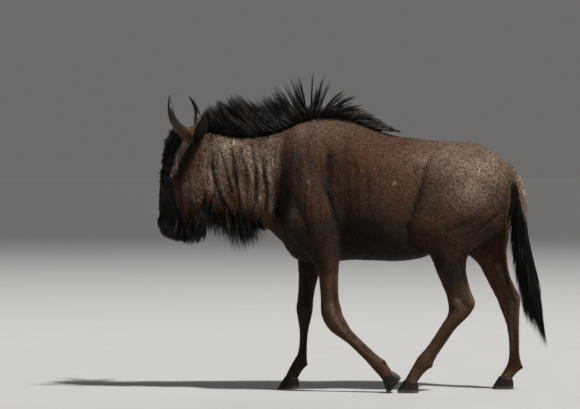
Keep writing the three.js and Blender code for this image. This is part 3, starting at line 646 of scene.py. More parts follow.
for way in (-1, 1):
    # Nostril: a long comma with a raised rim
    axis, tall = unit((-0.74, way * 0.66, -0.12)), unit((0.12, way * 0.05, -1))
    wide = np.cross(axis, tall)
    off = head - np.array((nostril_at[0], way * nostril_at[1], nostril_at[2]))
    down, across = off @ tall, off @ wide * -way
    hole = np.sqrt((down / nostril_tall) ** 2 + ((across - 0.02 * down**2 + 2) / nostril_wide) ** 2)
    close = ease(-np.linalg.norm(off, axis=1), -55, -40)
    depth = nostril_deep * (1 - ease(hole, 0.35, 1.15)) - 3 * hill(hole, 1.7, 0.6)
    head -= close[:, None] * axis * depth[:, None]
    # Eye: the lids lie on the ball, and between them the skin drops away behind it
    axis, tall = unit((-0.34, way, 0.04)), unit((-0.1, 0, -1))
    wide = np.cross(axis, tall)
    middle = np.array((eye_at[0], way * eye_at[1], eye_at[2]))
    off = head - middle
    away = np.maximum(np.linalg.norm(off, axis=1), 1e-6)
    shut = eye_radius + lid_depth
    down, across = shut * off @ tall / away, shut * off @ wide / away
    gape = np.hypot(down / gape_tall, across / gape_wide)
    wanted = shut - lid_drop * (1 - ease(gape, 0.9, 1.12)) + 1.8 * hill(gape, 1.45, 0.22)
    wanted -= 1.6 * hill(gape, 1.95, 0.16)
    hold = (1 - ease(away, shut, shut + 12)) * (off @ axis > 0)
    head = middle + off * ((away + (wanted - away) * hold) / away)[:, None]
write(skin_mesh, retold(head))
skin = put("skin", skin_mesh, "coat", "head", "neck", "torso", "hindquarters", "tail")
for end in ("fore", "hind"):
    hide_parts(*(f"{end}leg_{s}_{half}" for s in ("left", "right") for half in ("upper", "lower")))

# Markings of the coat: a black face, mane strip and beard; silvery neck patch, withers and rump; reddish
# ribs; brindle bars; tan shanks. With them go painted light and shade: painted shade in the folds, on the
# undersides and legs and behind the valleys at the shoulder and haunch, the ear's painted shadow on the
# cheek, and painted highlights and sheen on the face, rump, neck folds and legs. They are worked out for any
# place, so that skin and hair carry the same ones.
crest_line = [(-760, 1312), (-668, 1300), (-570, 1280), (-450, 1288), (-350, 1315), (-285, 1350)]
crest_line += [(-215, 1372), (-138, 1374), (-60, 1366), (35, 1333), (130, 1296), (250, 1282)]
throat_line = [(-738, 905), (-665, 872), (-595, 855), (-525, 840), (-450, 820)]
blaze_line = [(-785, 1300), (-830, 1255), (-872, 1180), (-890, 1095), (-888, 1040), (-880, 990)]
blaze_line += [(-866, 940), (-845, 890), (-832, 850), (-815, 800), (-800, 740)]
# A painted strip of light on the face, between the black blaze and the ear's shadow
lit_line = [(-812, 1245), (-850, 1180), (-874, 1100)]
# The ear's shadow, painted dark on the cheek
painted_ear_shadow_line = [(-765, 1265), (-806, 1190), (-828, 1110), (-850, 1060)]
# Painted shade in front of the shoulder
shoulder_front = [(-292, 1240), (-320, 1120), (-348, 1000), (-364, 890)]
# Painted sheen on the face's glossy bare skin, as lines with their strength
painted_sheen_lines = [
    ([(-936, 1012), (-922, 985), (-908, 950)], 0.7),
    ([(-862, 862), (-868, 830), (-874, 800)], 0.8),
    ([(-955, 1085), (-925, 1112), (-890, 1112)], 0.3),
    ([(-958, 985), (-962, 930)], 0.25),
]
bars = [
    [(-77, 1160), (-72, 1040), (-60, 925)],
    [(-50, 1165), (-46, 1040), (-36, 905)],
    [(-24, 1150), (-20, 1030), (-12, 900)],
    [(20, 1140), (22, 1020), (30, 900)],
    [(75, 1110), (78, 1010), (84, 910)],
    [(-255, 1180), (-262, 1060), (-270, 960)],
    [(-300, 1190), (-310, 1050), (-318, 930)],
    [(-230, 1060), (-232, 980), (-236, 900)],
]
# Spots as middle, reach and strength, and lines as places, reach and strength. Each ends in the one side that
# it is on, -1 for the left and 1 for the right, or 0 for both.
# Pale silvery coat of the neck, withers, rump and dock, partly painted sheen on the haunch and rump, and
# small painted highlights on the left shoulder, flank, elbow and hock
pale_and_highlight_spots = [
    ((-606, 1238), (60, 18), 1.6, 0),
    ((-660, 1190), (55, 90), 1.1, 0),
    ((520, 1140), (180, 110), 0.6, 0),
    ((650, 1120), (140, 100), 0.6, 0),
    ((560, 1010), (150, 110), 0.5, 0),
    ((850, 1000), (50, 130), 1.1, 0),
    ((-190, 1310), (190, 60), 0.2, 0),
    ((-690, 1120), (55, 130), 1.0, 0),
    ((-530, 1190), (120, 80), 0.75, 0),
    ((-410, 1190), (70, 100), 0.65, 0),
    ((-470, 980), (60, 110), 0.45, 0),
    ((-220, 1055), (7, 12), 1.1, -1),
    ((205, 1042), (7, 7), 1.0, -1),
    ((-312, 868), (14, 28), 0.45, -1),
    ((522, 452), (13, 20), 0.4, -1),
]
# Painted highlights along the lit edges of the legs' bones and sinews
painted_highlight_lines = [
    ([(560, 540), (600, 450)], 9, 0.4, -1),
    ([(-106, 440), (-92, 378), (-50, 325), (40, 245)], 9, 0.45, -1),
    ([(740, 620), (800, 480), (815, 400), (812, 200)], 14, 0.3, 1),
]
warm_spots = [
    ((60, 1120), (220, 130), 0.7, 0),
    ((-575, 1080), (60, 110), 0.8, 0),
    ((-510, 990), (60, 90), 0.6, 0),
    ((-750, 955), (70, 70), 0.9, 0),
    ((-230, 1000), (80, 130), 0.5, 0),
    ((350, 1180), (130, 60), 0.6, 0),
    ((-848, 1245), (60, 55), 0.9, 0),
    ((-795, 1310), (60, 30), 1.3, 0),
    ((760, 900), (60, 140), 0.5, 0),
]
# Painted shade on the belly, behind the elbow, about the shoulder and on the thighs and hocks; under the
# belly it is partly the coat's own dark
painted_shade_spots = [
    ((40, 790), (220, 140), 1.2, 0),
    ((60, 960), (110, 150), 0.5, 0),
    ((-250, 830), (110, 90), 0.6, 0),
    ((-290, 1000), (60, 200), 0.62, 0),
    ((-215, 1090), (70, 90), 0.35, 0),
    ((-190, 940), (60, 80), 0.3, 0),
    ((-200, 780), (110, 90), 0.5, 0),
    ((-330, 870), (60, 110), 0.8, 0),
    ((520, 600), (90, 110), 0.95, 0),
    ((640, 800), (120, 90), 0.75, 0),
    ((740, 900), (60, 110), 0.55, 0),
    ((450, 740), (110, 70), 0.5, 0),
    ((497, 420), (16, 22), 0.9, -1),
]
# Painted shade along the shaded edges of the legs
painted_shade_lines = [
    ([(-350, 860), (-305, 760), (-235, 690), (-185, 625)], 20, 0.75, 0),
    ([(600, 425), (540, 345), (480, 265), (430, 200)], 15, 0.7, -1),
    ([(-95, 300), (-20, 225), (60, 150)], 16, 0.6, -1),
    ([(-158, 600), (-158, 470), (-150, 380)], 18, 0.5, -1),
]
# The dark side of the first two valleys: how strong it is, and how far it reaches towards the tail
valley_shadows = ((0.8, 42), (0.98, 75))


def x_mean(line):
    return sum(p[0] for p in line) / len(line)


def waver(points, size):
    """Uneven edges for the markings, from -1 to 1."""
    p = points / size
    return np.sin(p[:, 0] + 1.7 * np.sin(p[:, 2] * 1.3)) * np.sin(p[:, 2] * 1.1 + 1.3 * np.sin(p[:, 1] * 0.9))


def strongest(points, spots, lines=()):
    """The most that any of the spots and lines gives at each place."""
    side, y = points[:, [0, 2]], points[:, 1]
    most = np.zeros(len(points))
    for middle, reach, strength, one in spots:
        most = np.maximum(most, strength * bump(side, middle, reach) * (y * one > 0 if one else 1))
    for line, reach, strength, one in lines:
        most = np.maximum(most, strength * beside(side, line, reach) * (y * one > 0 if one else 1))
    return most


def black_share(points, edge, on_head, painted_sheen):
    """The black of the face, the mane's strip, the beard and the dewclaws."""
    x, y, z = points.T
    hx, _, hz = unturned(points).T
    blaze_x = follow(upright(blaze_line), hz)
    black = (1 - ease(hx + edge, blaze_x - 12, blaze_x + 14)) * on_head * (1 - ease(hz, 1285, 1305))
    black = np.maximum(black, (1 - ease(hz, 800, 830)) * on_head) * (1 - 0.9 * painted_sheen)
    crest_z, throat_z = follow(crest_line, x), follow(throat_line, x)
    strip = ease(z + 1.6 * edge, crest_z - 34, crest_z - 8) * (1 - ease(np.abs(y), 34, 58))
    strip = strip * (1 - ease(x, 215, 260)) * ease(x, -790, -740)
    beard = (1 - ease(z + 2.5 * edge, throat_z + 10, throat_z + 75)) * (1 - ease(x, -470, -420))
    beard = beard * ease(x, -745, -720)
    black = np.maximum.reduce([black, 0.9 * strip, 0.55 * beard])
    for name, rows in leg_rows.items():
        under = np.array(rows[-2]["under"])
        dewclaws = bump(points[:, [0, 2]], under - (0, 6), (15, 14)) * (y * feet[name]["side"] > 0)
        black = np.maximum(black, 0.9 * dewclaws)
    return black


def fold_shade_and_bars_share(points, edge):
    """Painted shade in the folds, which fades at each fold's top, and the dark of the brindle bars."""
    side, y, z = points[:, [0, 2]], points[:, 1], points[:, 2]
    fold_shade_and_bars = np.zeros(len(points))
    for line, depth, reach, one in folds:
        # How dark each fold's painted shade is: less on the hindquarters, and uneven along the fold
        fold_shade = 0.7 if x_mean(line) > 200 else 1.0
        fold_shade *= 0.75 + 0.25 * np.sin(z / 27 + 1.7 * x_mean(line))
        top = line[0][1]
        fold_shade *= 1 - 0.85 * ease(z, top - min(80, 0.3 * (top - line[-1][1])), top)
        close = hill(near_line(side, line) / reach, 0, 0.75)
        fold_shade_and_bars = np.maximum(fold_shade_and_bars, on_side(y, one) * fold_shade * min(1, depth / 5) * close)
    for line in bars:
        fold_shade_and_bars = np.maximum(fold_shade_and_bars, 0.7 * beside(side + edge[:, None] * (1, 0), line, 9))
    return fold_shade_and_bars


def painted_shade_share(points, face, on_head):
    """Painted shade: on the undersides, the inner sides and shanks of the legs, in front of the shoulder,
    behind the valleys at the shoulder and haunch, under the ear and on all else that lies turned from the
    light. Under the belly it is partly the coat's own dark.
    """
    side = points[:, [0, 2]]
    x, y, z = points.T
    shadow = 0
    for (line, *_), (strong, reach) in zip(valleys, valley_shadows):
        past, within = behind_valley(side, line, 190)
        dark = strong * within * ease(past, -9, 5) * np.exp(-np.maximum(past, 0) / reach)
        shadow = np.maximum(shadow, dark)
    # Painted shade under the belly, between the legs, on the shanks and on the inner sides of the legs
    belly = (1 - ease(z, 740, 1010)) * ease(z, 560, 620) * ease(x, -400, -300) * (1 - ease(x, 240, 420))
    under = (1 - ease(z, 640, 800)) * ease(z, 560, 640) * ease(x, -60, 0) * (1 - ease(x, 420, 520))
    shanks = 0.35 * (1 - ease(z, 500, 640)) * (1 - 0.9 * ease(x, 600, 700))
    inner = 0.8 * ease(-np.abs(y), -116, -92) * (1 - ease(z, 560, 720)) * (1 - ease(x, 540, 660))
    shoulder = beside(side, shoulder_front, 38) * (1 - 0.75 * ease(z, 1090, 1270))
    # The ear's painted shadow on the cheek
    painted_ear_shadow = 0.9 * beside(face, painted_ear_shadow_line, 33) * on_head
    spots = strongest(points, painted_shade_spots, painted_shade_lines)
    painted_shade = np.maximum.reduce([spots, shadow, belly * 0.9, under, shanks, inner, shoulder, painted_ear_shadow]).clip(0, 1)
    return painted_shade * (1 - 0.6 * bump(side, (-100, 610), (50, 130)))


def markings(points):
    """Six shares from 0 to 1 at each place: black, paleness with painted light, painted shade of the folds
    with the brindle bars, warm, tan and painted shade.
    """
    head = unturned(points)
    side, face = points[:, [0, 2]], head[:, [0, 2]]
    x, _, z = points.T
    edge = 6 * waver(points, 9)
    on_head = ease(-head[:, 0], 700, 745)
    # Painted sheen below the eye and on the muzzle: it pales the face and takes away its black
    painted_sheen = 0.9 * bump(face, (-943, 1024), (11, 15)) + 0.42 * bump(face, (-962, 862), (9, 16))
    for line, strength in painted_sheen_lines:
        painted_sheen = np.maximum(painted_sheen, strength * beside(face, line, 8))
    painted_sheen = (painted_sheen * (0.8 + 0.2 * np.sin(z / 5.3) * np.sin(x / 4.1)) * on_head).clip(0, 1)
    black = black_share(points, edge, on_head, painted_sheen)
    spots = strongest(points, pale_and_highlight_spots, painted_highlight_lines)
    cheek = 0.6 * bump(side, (-785, 1020), (70, 80)) * on_head
    # Painted light on the strip of face beside the black blaze
    lit = 1.8 * beside(face, lit_line, 17) * on_head
    pale_and_highlight = np.maximum.reduce([spots, 1.1 * painted_sheen, cheek, lit]) * (1 - black)
    # A painted highlight on the lit edge behind each fold of the neck
    for line, *_ in folds:
        if -680 < x_mean(line) < -400:
            uneven = 0.6 + 0.3 * np.sin(z / 31 + x_mean(line))
            pale_and_highlight = np.maximum(pale_and_highlight, uneven * (1 - black) * beside(side - (22, 0), line, 13))
    warm = strongest(points, warm_spots).clip(0, 1)
    tan = (1 - ease(z, 380, 680)) * 0.6
    fold_shade_and_bars, painted_shade = fold_shade_and_bars_share(points, edge), painted_shade_share(points, face, on_head)
    return np.stack([black, pale_and_highlight, fold_shade_and_bars, warm, tan, painted_shade], axis=1)


def colour_by(mesh, shares):
    """Keeps the markings and their painted light and shade on a mesh, as two colour attributes of three
    shares each.
    """
    for name, three in (("marks_and_painted_light", shares[:, :3]), ("tints_and_painted_shade", shares[:, 3:])):
        kept = mesh.attributes.new(name, "FLOAT_COLOR", "POINT")
        kept.data.foreach_set("color", np.c_[three, np.ones(len(three))].astype(np.float32).ravel())


colour_by(skin_mesh, markings(read(skin_mesh)[0]))


class Wire:
    """A value in a finish. Arithmetic on it adds the nodes that work it out."""

    def __init__(self, finish, socket):
        self.finish = finish
        self.socket = socket

    def worked(self, operation, *parts):
        return self.finish.node("ShaderNodeMath", {"operation": operation}, dict(enumerate(parts)))

    def __add__(self, other):
        return self.worked("ADD", self, other)

    def __sub__(self, other):
        return self.worked("SUBTRACT", self, other)

    def __rsub__(self, other):
        return self.worked("SUBTRACT", other, self)

    def __mul__(self, other):
        return self.worked("MULTIPLY", self, other)

    __radd__ = __add__
    __rmul__ = __mul__


class Finish:
    """A surface finish: a material whose pattern is made by nodes."""

    def __init__(self, name, **fixed):
        self.material = bpy.data.materials.new(name)
        self.material.use_nodes = True
        self.tree = self.material.node_tree
        self.shader = self.tree.nodes["Principled BSDF"]
        for socket, value in fixed.items():
            self.shader.inputs[socket.replace("_", " ")].default_value = value
        self.place = self.node("ShaderNodeTexCoord", {}, {}, "Object")

    def node(self, kind, settings, sockets, output=0):
        """Adds one node: its settings first, then the values or links of its sockets."""
        made = self.tree.nodes.new(kind)
        for setting, value in settings.items():
            setattr(made, setting, value)
        for key, value in sockets.items():
            if isinstance(value, Wire):
                self.tree.links.new(value.socket, made.inputs[key])
            else:
                made.inputs[key].default_value = value
        return Wire(self, made.outputs[output])

    def grain(self, scale, detail=2, turn=(0, 0, 0)):
        """Uneven shade from 0 to 1, with its own fineness each way."""
        moved = self.node("ShaderNodeMapping", {}, {"Vector": self.place, "Scale": scale, "Rotation": turn})
        return self.node("ShaderNodeTexNoise", {}, {"Vector": moved, "Scale": 1, "Detail": detail})

    def step(self, value, start, end, low=0, high=1):
        """A smooth rise from low to high while value goes from start to end."""
        sockets = {0: value, 1: start, 2: end, 3: low, 4: high}
        return self.node("ShaderNodeMapRange", {"interpolation_type": "SMOOTHSTEP"}, sockets)

    def mix(self, share, one, other):
        """Colour one where share is 0, and other where it is 1."""
        return self.node("ShaderNodeMix", {"data_type": "RGBA"}, {0: share, 6: one, 7: other}, 2)

    def shares(self, name):
        """The three shares kept in a colour attribute."""
        kept = self.node("ShaderNodeAttribute", {"attribute_name": name}, {}, "Color")
        parted = self.node("ShaderNodeSeparateColor", {}, {0: kept})
        return [Wire(self, parted.socket.node.outputs[k]) for k in range(3)]

    def kept(self, name):
        """The value kept under a name at each point of the mesh."""
        return self.node("ShaderNodeAttribute", {"attribute_name": name}, {}, "Fac")

    def measure(self, axis):
        """Each place's distance along x, y or z, in metres. Axis is 0, 1 or 2."""
        return self.node("ShaderNodeSeparateXYZ", {}, {0: self.place}, axis)

    def worn(self, **sockets):
        """Leads values into the shader, by the names of its sockets."""
        for socket, value in sockets.items():
            self.tree.links.new(value.socket, self.shader.inputs[socket.replace("_", " ")])
        return self.material

    def relief(self, height, distance, strength=1.0):
        """A rough surface, as high as height says, and distance metres at the most."""
        sockets = {"Height": height, "Distance": distance, "Strength": strength}
        return self.node("ShaderNodeBump", {}, sockets)


brown = (0.088, 0.041, 0.019, 1)
dark_brown = (0.0075, 0.0048, 0.003, 1)
# Silvery coat, and the colour of painted highlights
silver_and_highlight = (0.37, 0.284, 0.211, 1)
rust = (0.125, 0.045, 0.0145, 1)
fawn = (0.11, 0.056, 0.031, 1)
ink = (0.0026, 0.0024, 0.0022, 1)
# The colour of painted shade
deep = (0.0034, 0.0025, 0.002, 1)


def coat_colour(f, speck):
    """The coat's colour. speck, from 0 to 1, is each hair's own share of darkness or light."""
    black, pale_and_highlight, fold_shade_and_bars = f.shares("marks_and_painted_light")
    warm, tan, painted_shade = f.shares("tints_and_painted_shade")
    patch = f.grain((11, 11, 7), 3)
    bars = f.step(f.grain((46, 9, 3.2), 3), 0.5, 0.6)
    fore = f.step(f.measure(0), 0.2, -0.15)
    ribs = f.step(f.measure(2), 0.75, 0.9) * f.step(f.measure(2), 1.27, 1.15)
    colour = f.mix(speck, dark_brown, brown)
    colour = f.mix(warm * f.step(speck, 0.25, 0.75) * f.step(patch, 0.3, 0.6, 0.35, 1), colour, rust)
    colour = f.mix(tan * f.step(speck, 0.1, 0.8, 0.35, 1), colour, fawn)
    # Pale silvery coat, with painted highlights and sheen
    colour = f.mix(pale_and_highlight * f.step(speck, 0.15, 0.7) * f.step(patch, 0.3, 0.62, 0.6, 1), colour, silver_and_highlight)
    colour = f.mix(bars * fore * ribs * 0.5, colour, dark_brown)
    # Painted shade in the folds, and the dark brindle bars
    colour = f.mix(fold_shade_and_bars * 0.95, colour, dark_brown)
    # Painted shade, darkening towards the colour deep
    colour = f.mix(painted_shade * 0.91, colour, deep)
    return f.mix(f.step(black + (speck - 0.5) * 0.3, 0.3, 0.7), colour, ink)


hide_finish = Finish("short coat", IOR=1.3, Specular_IOR_Level=0.3)
speck = hide_finish.grain((270, 270, 180), 3)
streak = hide_finish.grain((240, 240, 60), 3, (0, 0.5, 0))
share = hide_finish.step(speck * 0.6 + streak * 0.4, 0.33, 0.66)
skin_mesh.materials.clear()
skin_mesh.materials.append(
    hide_finish.worn(
        Base_Color=coat_colour(hide_finish, share),
        Roughness=hide_finish.step(hide_finish.shares("marks_and_painted_light")[0], 0, 1, 0.62, 0.36),
        Normal=hide_finish.relief(share, 0.0022, 0.7),
    )
)

# The map that the coat's colours are kept by, laid over the skin's own shape
bpy.context.view_layer.objects.active = skin
skin.select_set(True)
bpy.ops.object.mode_set(mode="EDIT")
bpy.ops.mesh.select_all(action="SELECT")
bpy.ops.uv.smart_project(angle_limit=math.radians(66), island_margin=0.001)
bpy.ops.object.mode_set(mode="OBJECT")
skin_mesh.uv_layers[0].name = "OFBake"

# Eyes. Dark wet balls with a bar-shaped pupil, seated in the skull's hollows. The rims of the upper and the
# lower lid are bare dark skin, a ring of its own on the hide round each ball.


def hoop(bm, place, sides, steps):
    """A closed ring of tube, round both ways."""
    made = spread(bm, place, sides, steps)
    bmesh.ops.remove_doubles(bm, verts=made, dist=touching)
    bmesh.ops.recalc_face_normals(bm, faces=bm.faces)


def turned_point(point):
    """A place on the unturned head, turned with it and in metres."""
    x, y = turned(point[0], point[1])
    return Vector((x, y, point[2])) * mm


def note(mesh, name, values):
    """Keeps one value at each point of a mesh, for its finish to read."""
    kept = mesh.attributes.new(name, "FLOAT", "POINT")
    kept.data.foreach_set("value", np.asarray(values, np.float32))


both_sides = (("left", -1), ("right", 1))
pupil_tall, pupil_wide = 5.5, 10
lid_gap, lid_seat, lid_thick = 0.8, 1.3, 1.5
wet = Finish("wet eye", Roughness=0.09, IOR=1.33)
pupil = wet.kept("pupil")
iris = wet.mix(wet.grain((900, 900, 900), 2), (0.022, 0.010, 0.005, 1), (0.05, 0.024, 0.011, 1))
iris = wet.mix(wet.step(pupil, 0.42, 0.5), (0.002, 0.002, 0.0025, 1), iris)
iris = wet.mix(wet.step(pupil, 0.86, 1.0), iris, (0.008, 0.006, 0.005, 1))
wet.worn(Base_Color=iris)
rim = Finish("bare dark skin", IOR=1.4, Specular_IOR_Level=0.25)
crinkle = rim.grain((900, 900, 900), 3)
rim.worn(
    Base_Color=rim.mix(crinkle, (0.002, 0.0018, 0.0016, 1), (0.007, 0.006, 0.0052, 1)),
    Roughness=rim.step(crinkle, 0.3, 0.7, 0.4, 0.6),
    Normal=rim.relief(crinkle, 0.0006),
)
for name, way in both_sides:
    axis, tall = unit((-0.34, way, 0.04)), unit((-0.1, 0, -1))
    wide = unit(np.cross(axis, tall))
    tall = np.cross(wide, axis)
    middle = np.array((eye_at[0], way * eye_at[1], eye_at[2]))
    bm = bmesh.new()
    bmesh.ops.create_uvsphere(bm, u_segments=48, v_segments=32, radius=eye_radius)
    frame_of_eye = Matrix((wide, tall, axis)).transposed()
    looks = [(v.co.x / pupil_tall, v.co.y / pupil_wide, v.co.z) for v in bm.verts]
    for v in bm.verts:
        v.co = turned_point(middle + np.array(frame_of_eye @ v.co))
    bmesh.ops.recalc_face_normals(bm, faces=bm.faces)
    ball = finished(bm, f"eye_{name}")
    note(ball, "pupil", [math.hypot(a, b) / 2 if c > 0 else 2.0 for a, b, c in looks])
    ball.materials.append(wet.material)
    put(f"eyeball_{name}", ball, "eye", f"eye_{name}")

    def lid_place(turn, height):
        """A place on the rim: an oval drawn out to its corners, thicker along the upper lid."""
        a, b = 2 * math.pi * height, 2 * math.pi * turn
        p = (gape_tall + lid_gap) * math.cos(a)
        q = (gape_wide + lid_gap) * math.sin(a) * (0.72 + 0.28 * abs(math.sin(a)))
        seat = eye_radius + lid_seat
        ridge = unit(axis * math.sqrt(seat**2 - p**2 - q**2) + tall * p + wide * q)
        outward = unit(tall * p / gape_tall + wide * q / gape_wide)
        thick = lid_thick + 0.8 * max(0, math.sin(a) * -way)
        return turned_point(middle + ridge * (seat + thick * math.cos(b)) + outward * thick * math.sin(b))

    bm = bmesh.new()
    hoop(bm, lid_place, 12, 72)
    lids = finished(bm, f"lids_{name}")
    lids.materials.append(rim.material)
    put(f"lids_{name}", lids, "face")

# Horns. They leave the skull sideways from a rough brown boss, sink a little, then sweep up and in to smooth
# grey points. Horn over a bony core, ringed near the root.
horn_rows = table(
    "at radius",
    ((-808, 20, 1262), 33),
    ((-808, 60, 1278), 34),
    ((-808, 90, 1292), 31),
    ((-822, 144, 1318), 25),
    ((-838, 186, 1354), 19.5),
    ((-846, 201, 1396), 14.5),
    ((-857, 186, 1438), 9.5),
    ((-870, 146, 1476), 2.2),
)
horn = Finish("horn", IOR=1.42, Specular_IOR_Level=0.3)
up_horn = horn.kept("along")
rings = horn.grain((90, 90, 90), 3)
fibre = horn.grain((30, 30, 420), 3)
tone = horn.mix(horn.step(up_horn, 0.35, 0.62), (0.06, 0.027, 0.0125, 1), (0.018, 0.0145, 0.0125, 1))
tone = horn.mix(horn.step(up_horn, 0.72, 0.97), tone, (0.008, 0.008, 0.008, 1))
tone = horn.mix(horn.step(rings * 0.5 + fibre * 0.5, 0.38, 0.66) * 0.75, tone, (0.018, 0.012, 0.009, 1))
horn.worn(
    Base_Color=tone,
    Roughness=horn.step(up_horn, 0.15, 0.5, 0.6, 0.4),
    Normal=horn.relief(rings * 0.5 + fibre * 0.5, 0.0015, 0.5),
)


def heading(rows, u, step):
    """Which way the line through rows runs at place u."""
    return unit(along(rows, "at", min(u + step, len(rows) - 1)) - along(rows, "at", max(u - step, 0)))


def path_place(rows, way, swell):
    """A round tube along a bent line in the unturned head, the left one the mirror of the right."""

    def place(turn, height):
        u = height * (len(rows) - 1)
        here = along(rows, "at", u)
        ahead = heading(rows, u, 0.02)
        across = unit(np.cross(ahead, (1, 0, 0)))
        over = np.cross(across, ahead)
        a = 2 * math.pi * turn
        radius = along(rows, "radius", u) * swell(turn, height)
        p = here + radius * (across * math.cos(a) + over * math.sin(a))
        return turned_point((p[0], way * p[1], p[2]))

    return place


def horn_rings(turn, height):
    """How the horn swells in rings towards its root, and is smooth towards its tip."""
    worn = 1 - float(ease(height, 0.3, 0.62))
    wave = math.sin(height * 95 + 0.6 * math.sin(4 * math.pi * turn))
    return 1 + worn * (0.028 * wave + 0.02 * math.sin(6 * math.pi * turn + 9 * height))


for name, way in both_sides:
    bm = bmesh.new()
    tube(bm, path_place(horn_rows, way, horn_rings), 28, 150)
    mesh = finished(bm, f"horn_{name}")
    at, _ = read(mesh)
    # How far up the horn each point lies, from the two rows that are nearest to it
    far = unturned(at)[:, None] * (1, way, 1) - np.array([row["at"] for row in horn_rows])
    far = np.linalg.norm(far, axis=2)
    order = np.argsort(far, axis=1)[:, :2]
    gaps = np.take_along_axis(far, order, axis=1)
    note(mesh, "along", (order * gaps[:, ::-1]).sum(1) / gaps.sum(1) / (len(horn_rows) - 1))
    mesh.materials.append(horn.material)
    put(f"horn_sheath_{name}", mesh, "horn", f"horn_{name}")

# Ears. Long leaf-shaped cups of gristle under short hair, rolled to a tube at the root and narrow at the tip.
# Each is one bent sheet, given its wall's thickness, and set into the hide behind the horn.
ear_rows = table(
    "at half curl",
    ((-752, 52, 1250), 20, 2.5),
    ((-743, 78, 1266), 24, 2.3),
    ((-722, 112, 1292), 28, 1.8),
    ((-698, 150, 1320), 29, 1.35),
    ((-674, 192, 1348), 21, 1.1),
    ((-656, 226, 1374), 2.5, 1.0),
)
ear_wall = 4
ear = Finish("ear", IOR=1.4, Specular_IOR_Level=0.2)
fuzz = ear.grain((400, 400, 200), 3)
inner = ear.kept("inner")
outside = ear.mix(fuzz, (0.006, 0.0035, 0.0022, 1), (0.09, 0.036, 0.014, 1))
inside = ear.mix(fuzz, (0.006, 0.004, 0.003, 1), (0.04, 0.021, 0.012, 1))
ear.worn(
    Base_Color=ear.mix(ear.step(inner, 0.4, 0.6), outside, inside),
    Roughness=ear.step(fuzz, 0, 1, 0.6, 0.75),
    Normal=ear.relief(fuzz, 0.0012, 0.6),
)


def ear_place(way):
    """The ear as a sheet rolled about its length, with its open side to the front."""
    front = unit((-0.3, 0.55, -0.75))

    def place(across_share, height):
        u = height * (len(ear_rows) - 1)
        here = along(ear_rows, "at", u)
        ahead = heading(ear_rows, u, 0.05)
        across = unit(np.cross(ahead, front))
        out_way = np.cross(across, ahead)
        curl = float(along(ear_rows, "curl", u))
        radius = float(along(ear_rows, "half", u)) / (1 if curl > math.pi / 2 else math.sin(curl))
        a = (2 * across_share - 1) * curl
        p = here + across * radius * math.sin(a) + out_way * (radius * (0.55 - math.cos(a)))
        return turned_point((p[0], way * p[1], p[2]))

    return place


for name, way in both_sides:
    bm = bmesh.new()
    spread(bm, ear_place(way), 20, 34)
    bmesh.ops.recalc_face_normals(bm, faces=bm.faces)
    marked = bm.verts.layers.float.new("inner")
    outer = set(bm.verts)
    bmesh.ops.solidify(bm, geom=list(bm.faces), thickness=ear_wall * mm)
    for v in bm.verts:
        v[marked] = 0.0 if v in outer else 1.0
    bmesh.ops.recalc_face_normals(bm, faces=bm.faces)
    mesh = finished(bm, f"ear_{name}")
    mesh.materials.append(ear.material)
    put(f"ear_leaf_{name}", mesh, "coat", f"ear_{name}")

# Hooves. Two horn claws to each foot, dark and finely ringed, dusty at the edge that meets the ground. Each
# claw is a tube of its own, flat below, that reaches up into the hide of the foot.
hoof = Finish("hoof", IOR=1.42, Specular_IOR_Level=0.3)
lines = hoof.grain((60, 60, 900), 2)
pits = hoof.grain((260, 260, 260), 3)
tone = hoof.mix(lines * 0.6 + pits * 0.4, (0.004, 0.0033, 0.0027, 1), (0.017, 0.0128, 0.009, 1))
dust = hoof.step(hoof.measure(2), 0.022, 0.0) * hoof.step(pits, 0.4, 0.65)
tone = hoof.mix(dust, tone, (0.22, 0.155, 0.105, 1))
hoof.worn(
    Base_Color=tone,
    Roughness=hoof.step(pits, 0.3, 0.7, 0.38, 0.62),
    Normal=hoof.relief(lines * 0.7 + pits * 0.3, 0.0008, 0.6),
)
sole = table("over under wide", ((-61, -0.5), (39, -0.5), 16))
collar = table("over under wide", ((-27, 62), (34, 57), 14))
fine_claw = sole + claw_rows + collar


def claw_place(foot, way):
    """One claw of a foot, rounder outside than on the side that faces the other claw."""

    def place(turn, height):
        u = height * (len(fine_claw) - 1)
        over, under = along(fine_claw, "over", u), along(fine_claw, "under", u)
        wide = along(fine_claw, "wide", u)
        a = 2 * math.pi * turn
        across, rise = (math.copysign(abs(v) ** 0.8, v) for v in (math.cos(a), math.sin(a)))
        across *= 1 - 0.22 * max(0, rise) - (0.12 if across * way < 0 else 0)
        ring = 1 + 0.012 * math.sin(height * 60)
        x, z = foot_point((over + under) / 2 + (over - under) / 2 * rise * ring, foot)
        return Vector((x, foot["side"] + way * claw_side + wide * across * ring, max(z, 0))) * mm

    return place


bm = bmesh.new()
for foot in feet.values():
    for way in (-1, 1):
        tube(bm, claw_place(foot, way), 28, 40)
mesh = finished(bm, "hooves")
mesh.materials.append(hoof.material)
put("hooves", mesh, "hoof", *(f"hoof_{leg}_{part}" for leg in feet for part in ("inner", "outer")))

# Mane. Stiff black hair stands along the neck and falls back over the withers, in clumps that come to a
# point. Each lock is a closed flat blade that bends and thins to its tip, with its root under the skin.
long_hair = Finish("long hair", IOR=1.3, Specular_IOR_Level=0.4)
tone = long_hair.kept("tone")
tip_share = long_hair.kept("along")
shade = long_hair.mix(tone, (0.001, 0.001, 0.001, 1), (0.013, 0.011, 0.0092, 1))
bleached = long_hair.step(tone, 0.68, 0.92) * long_hair.step(tip_share, 0.1, 0.75)
shade = long_hair.mix(bleached, shade, (0.14, 0.105, 0.078, 1))
long_hair.worn(Base_Color=shade, Roughness=long_hair.step(tone, 0, 1, 0.36, 0.5))
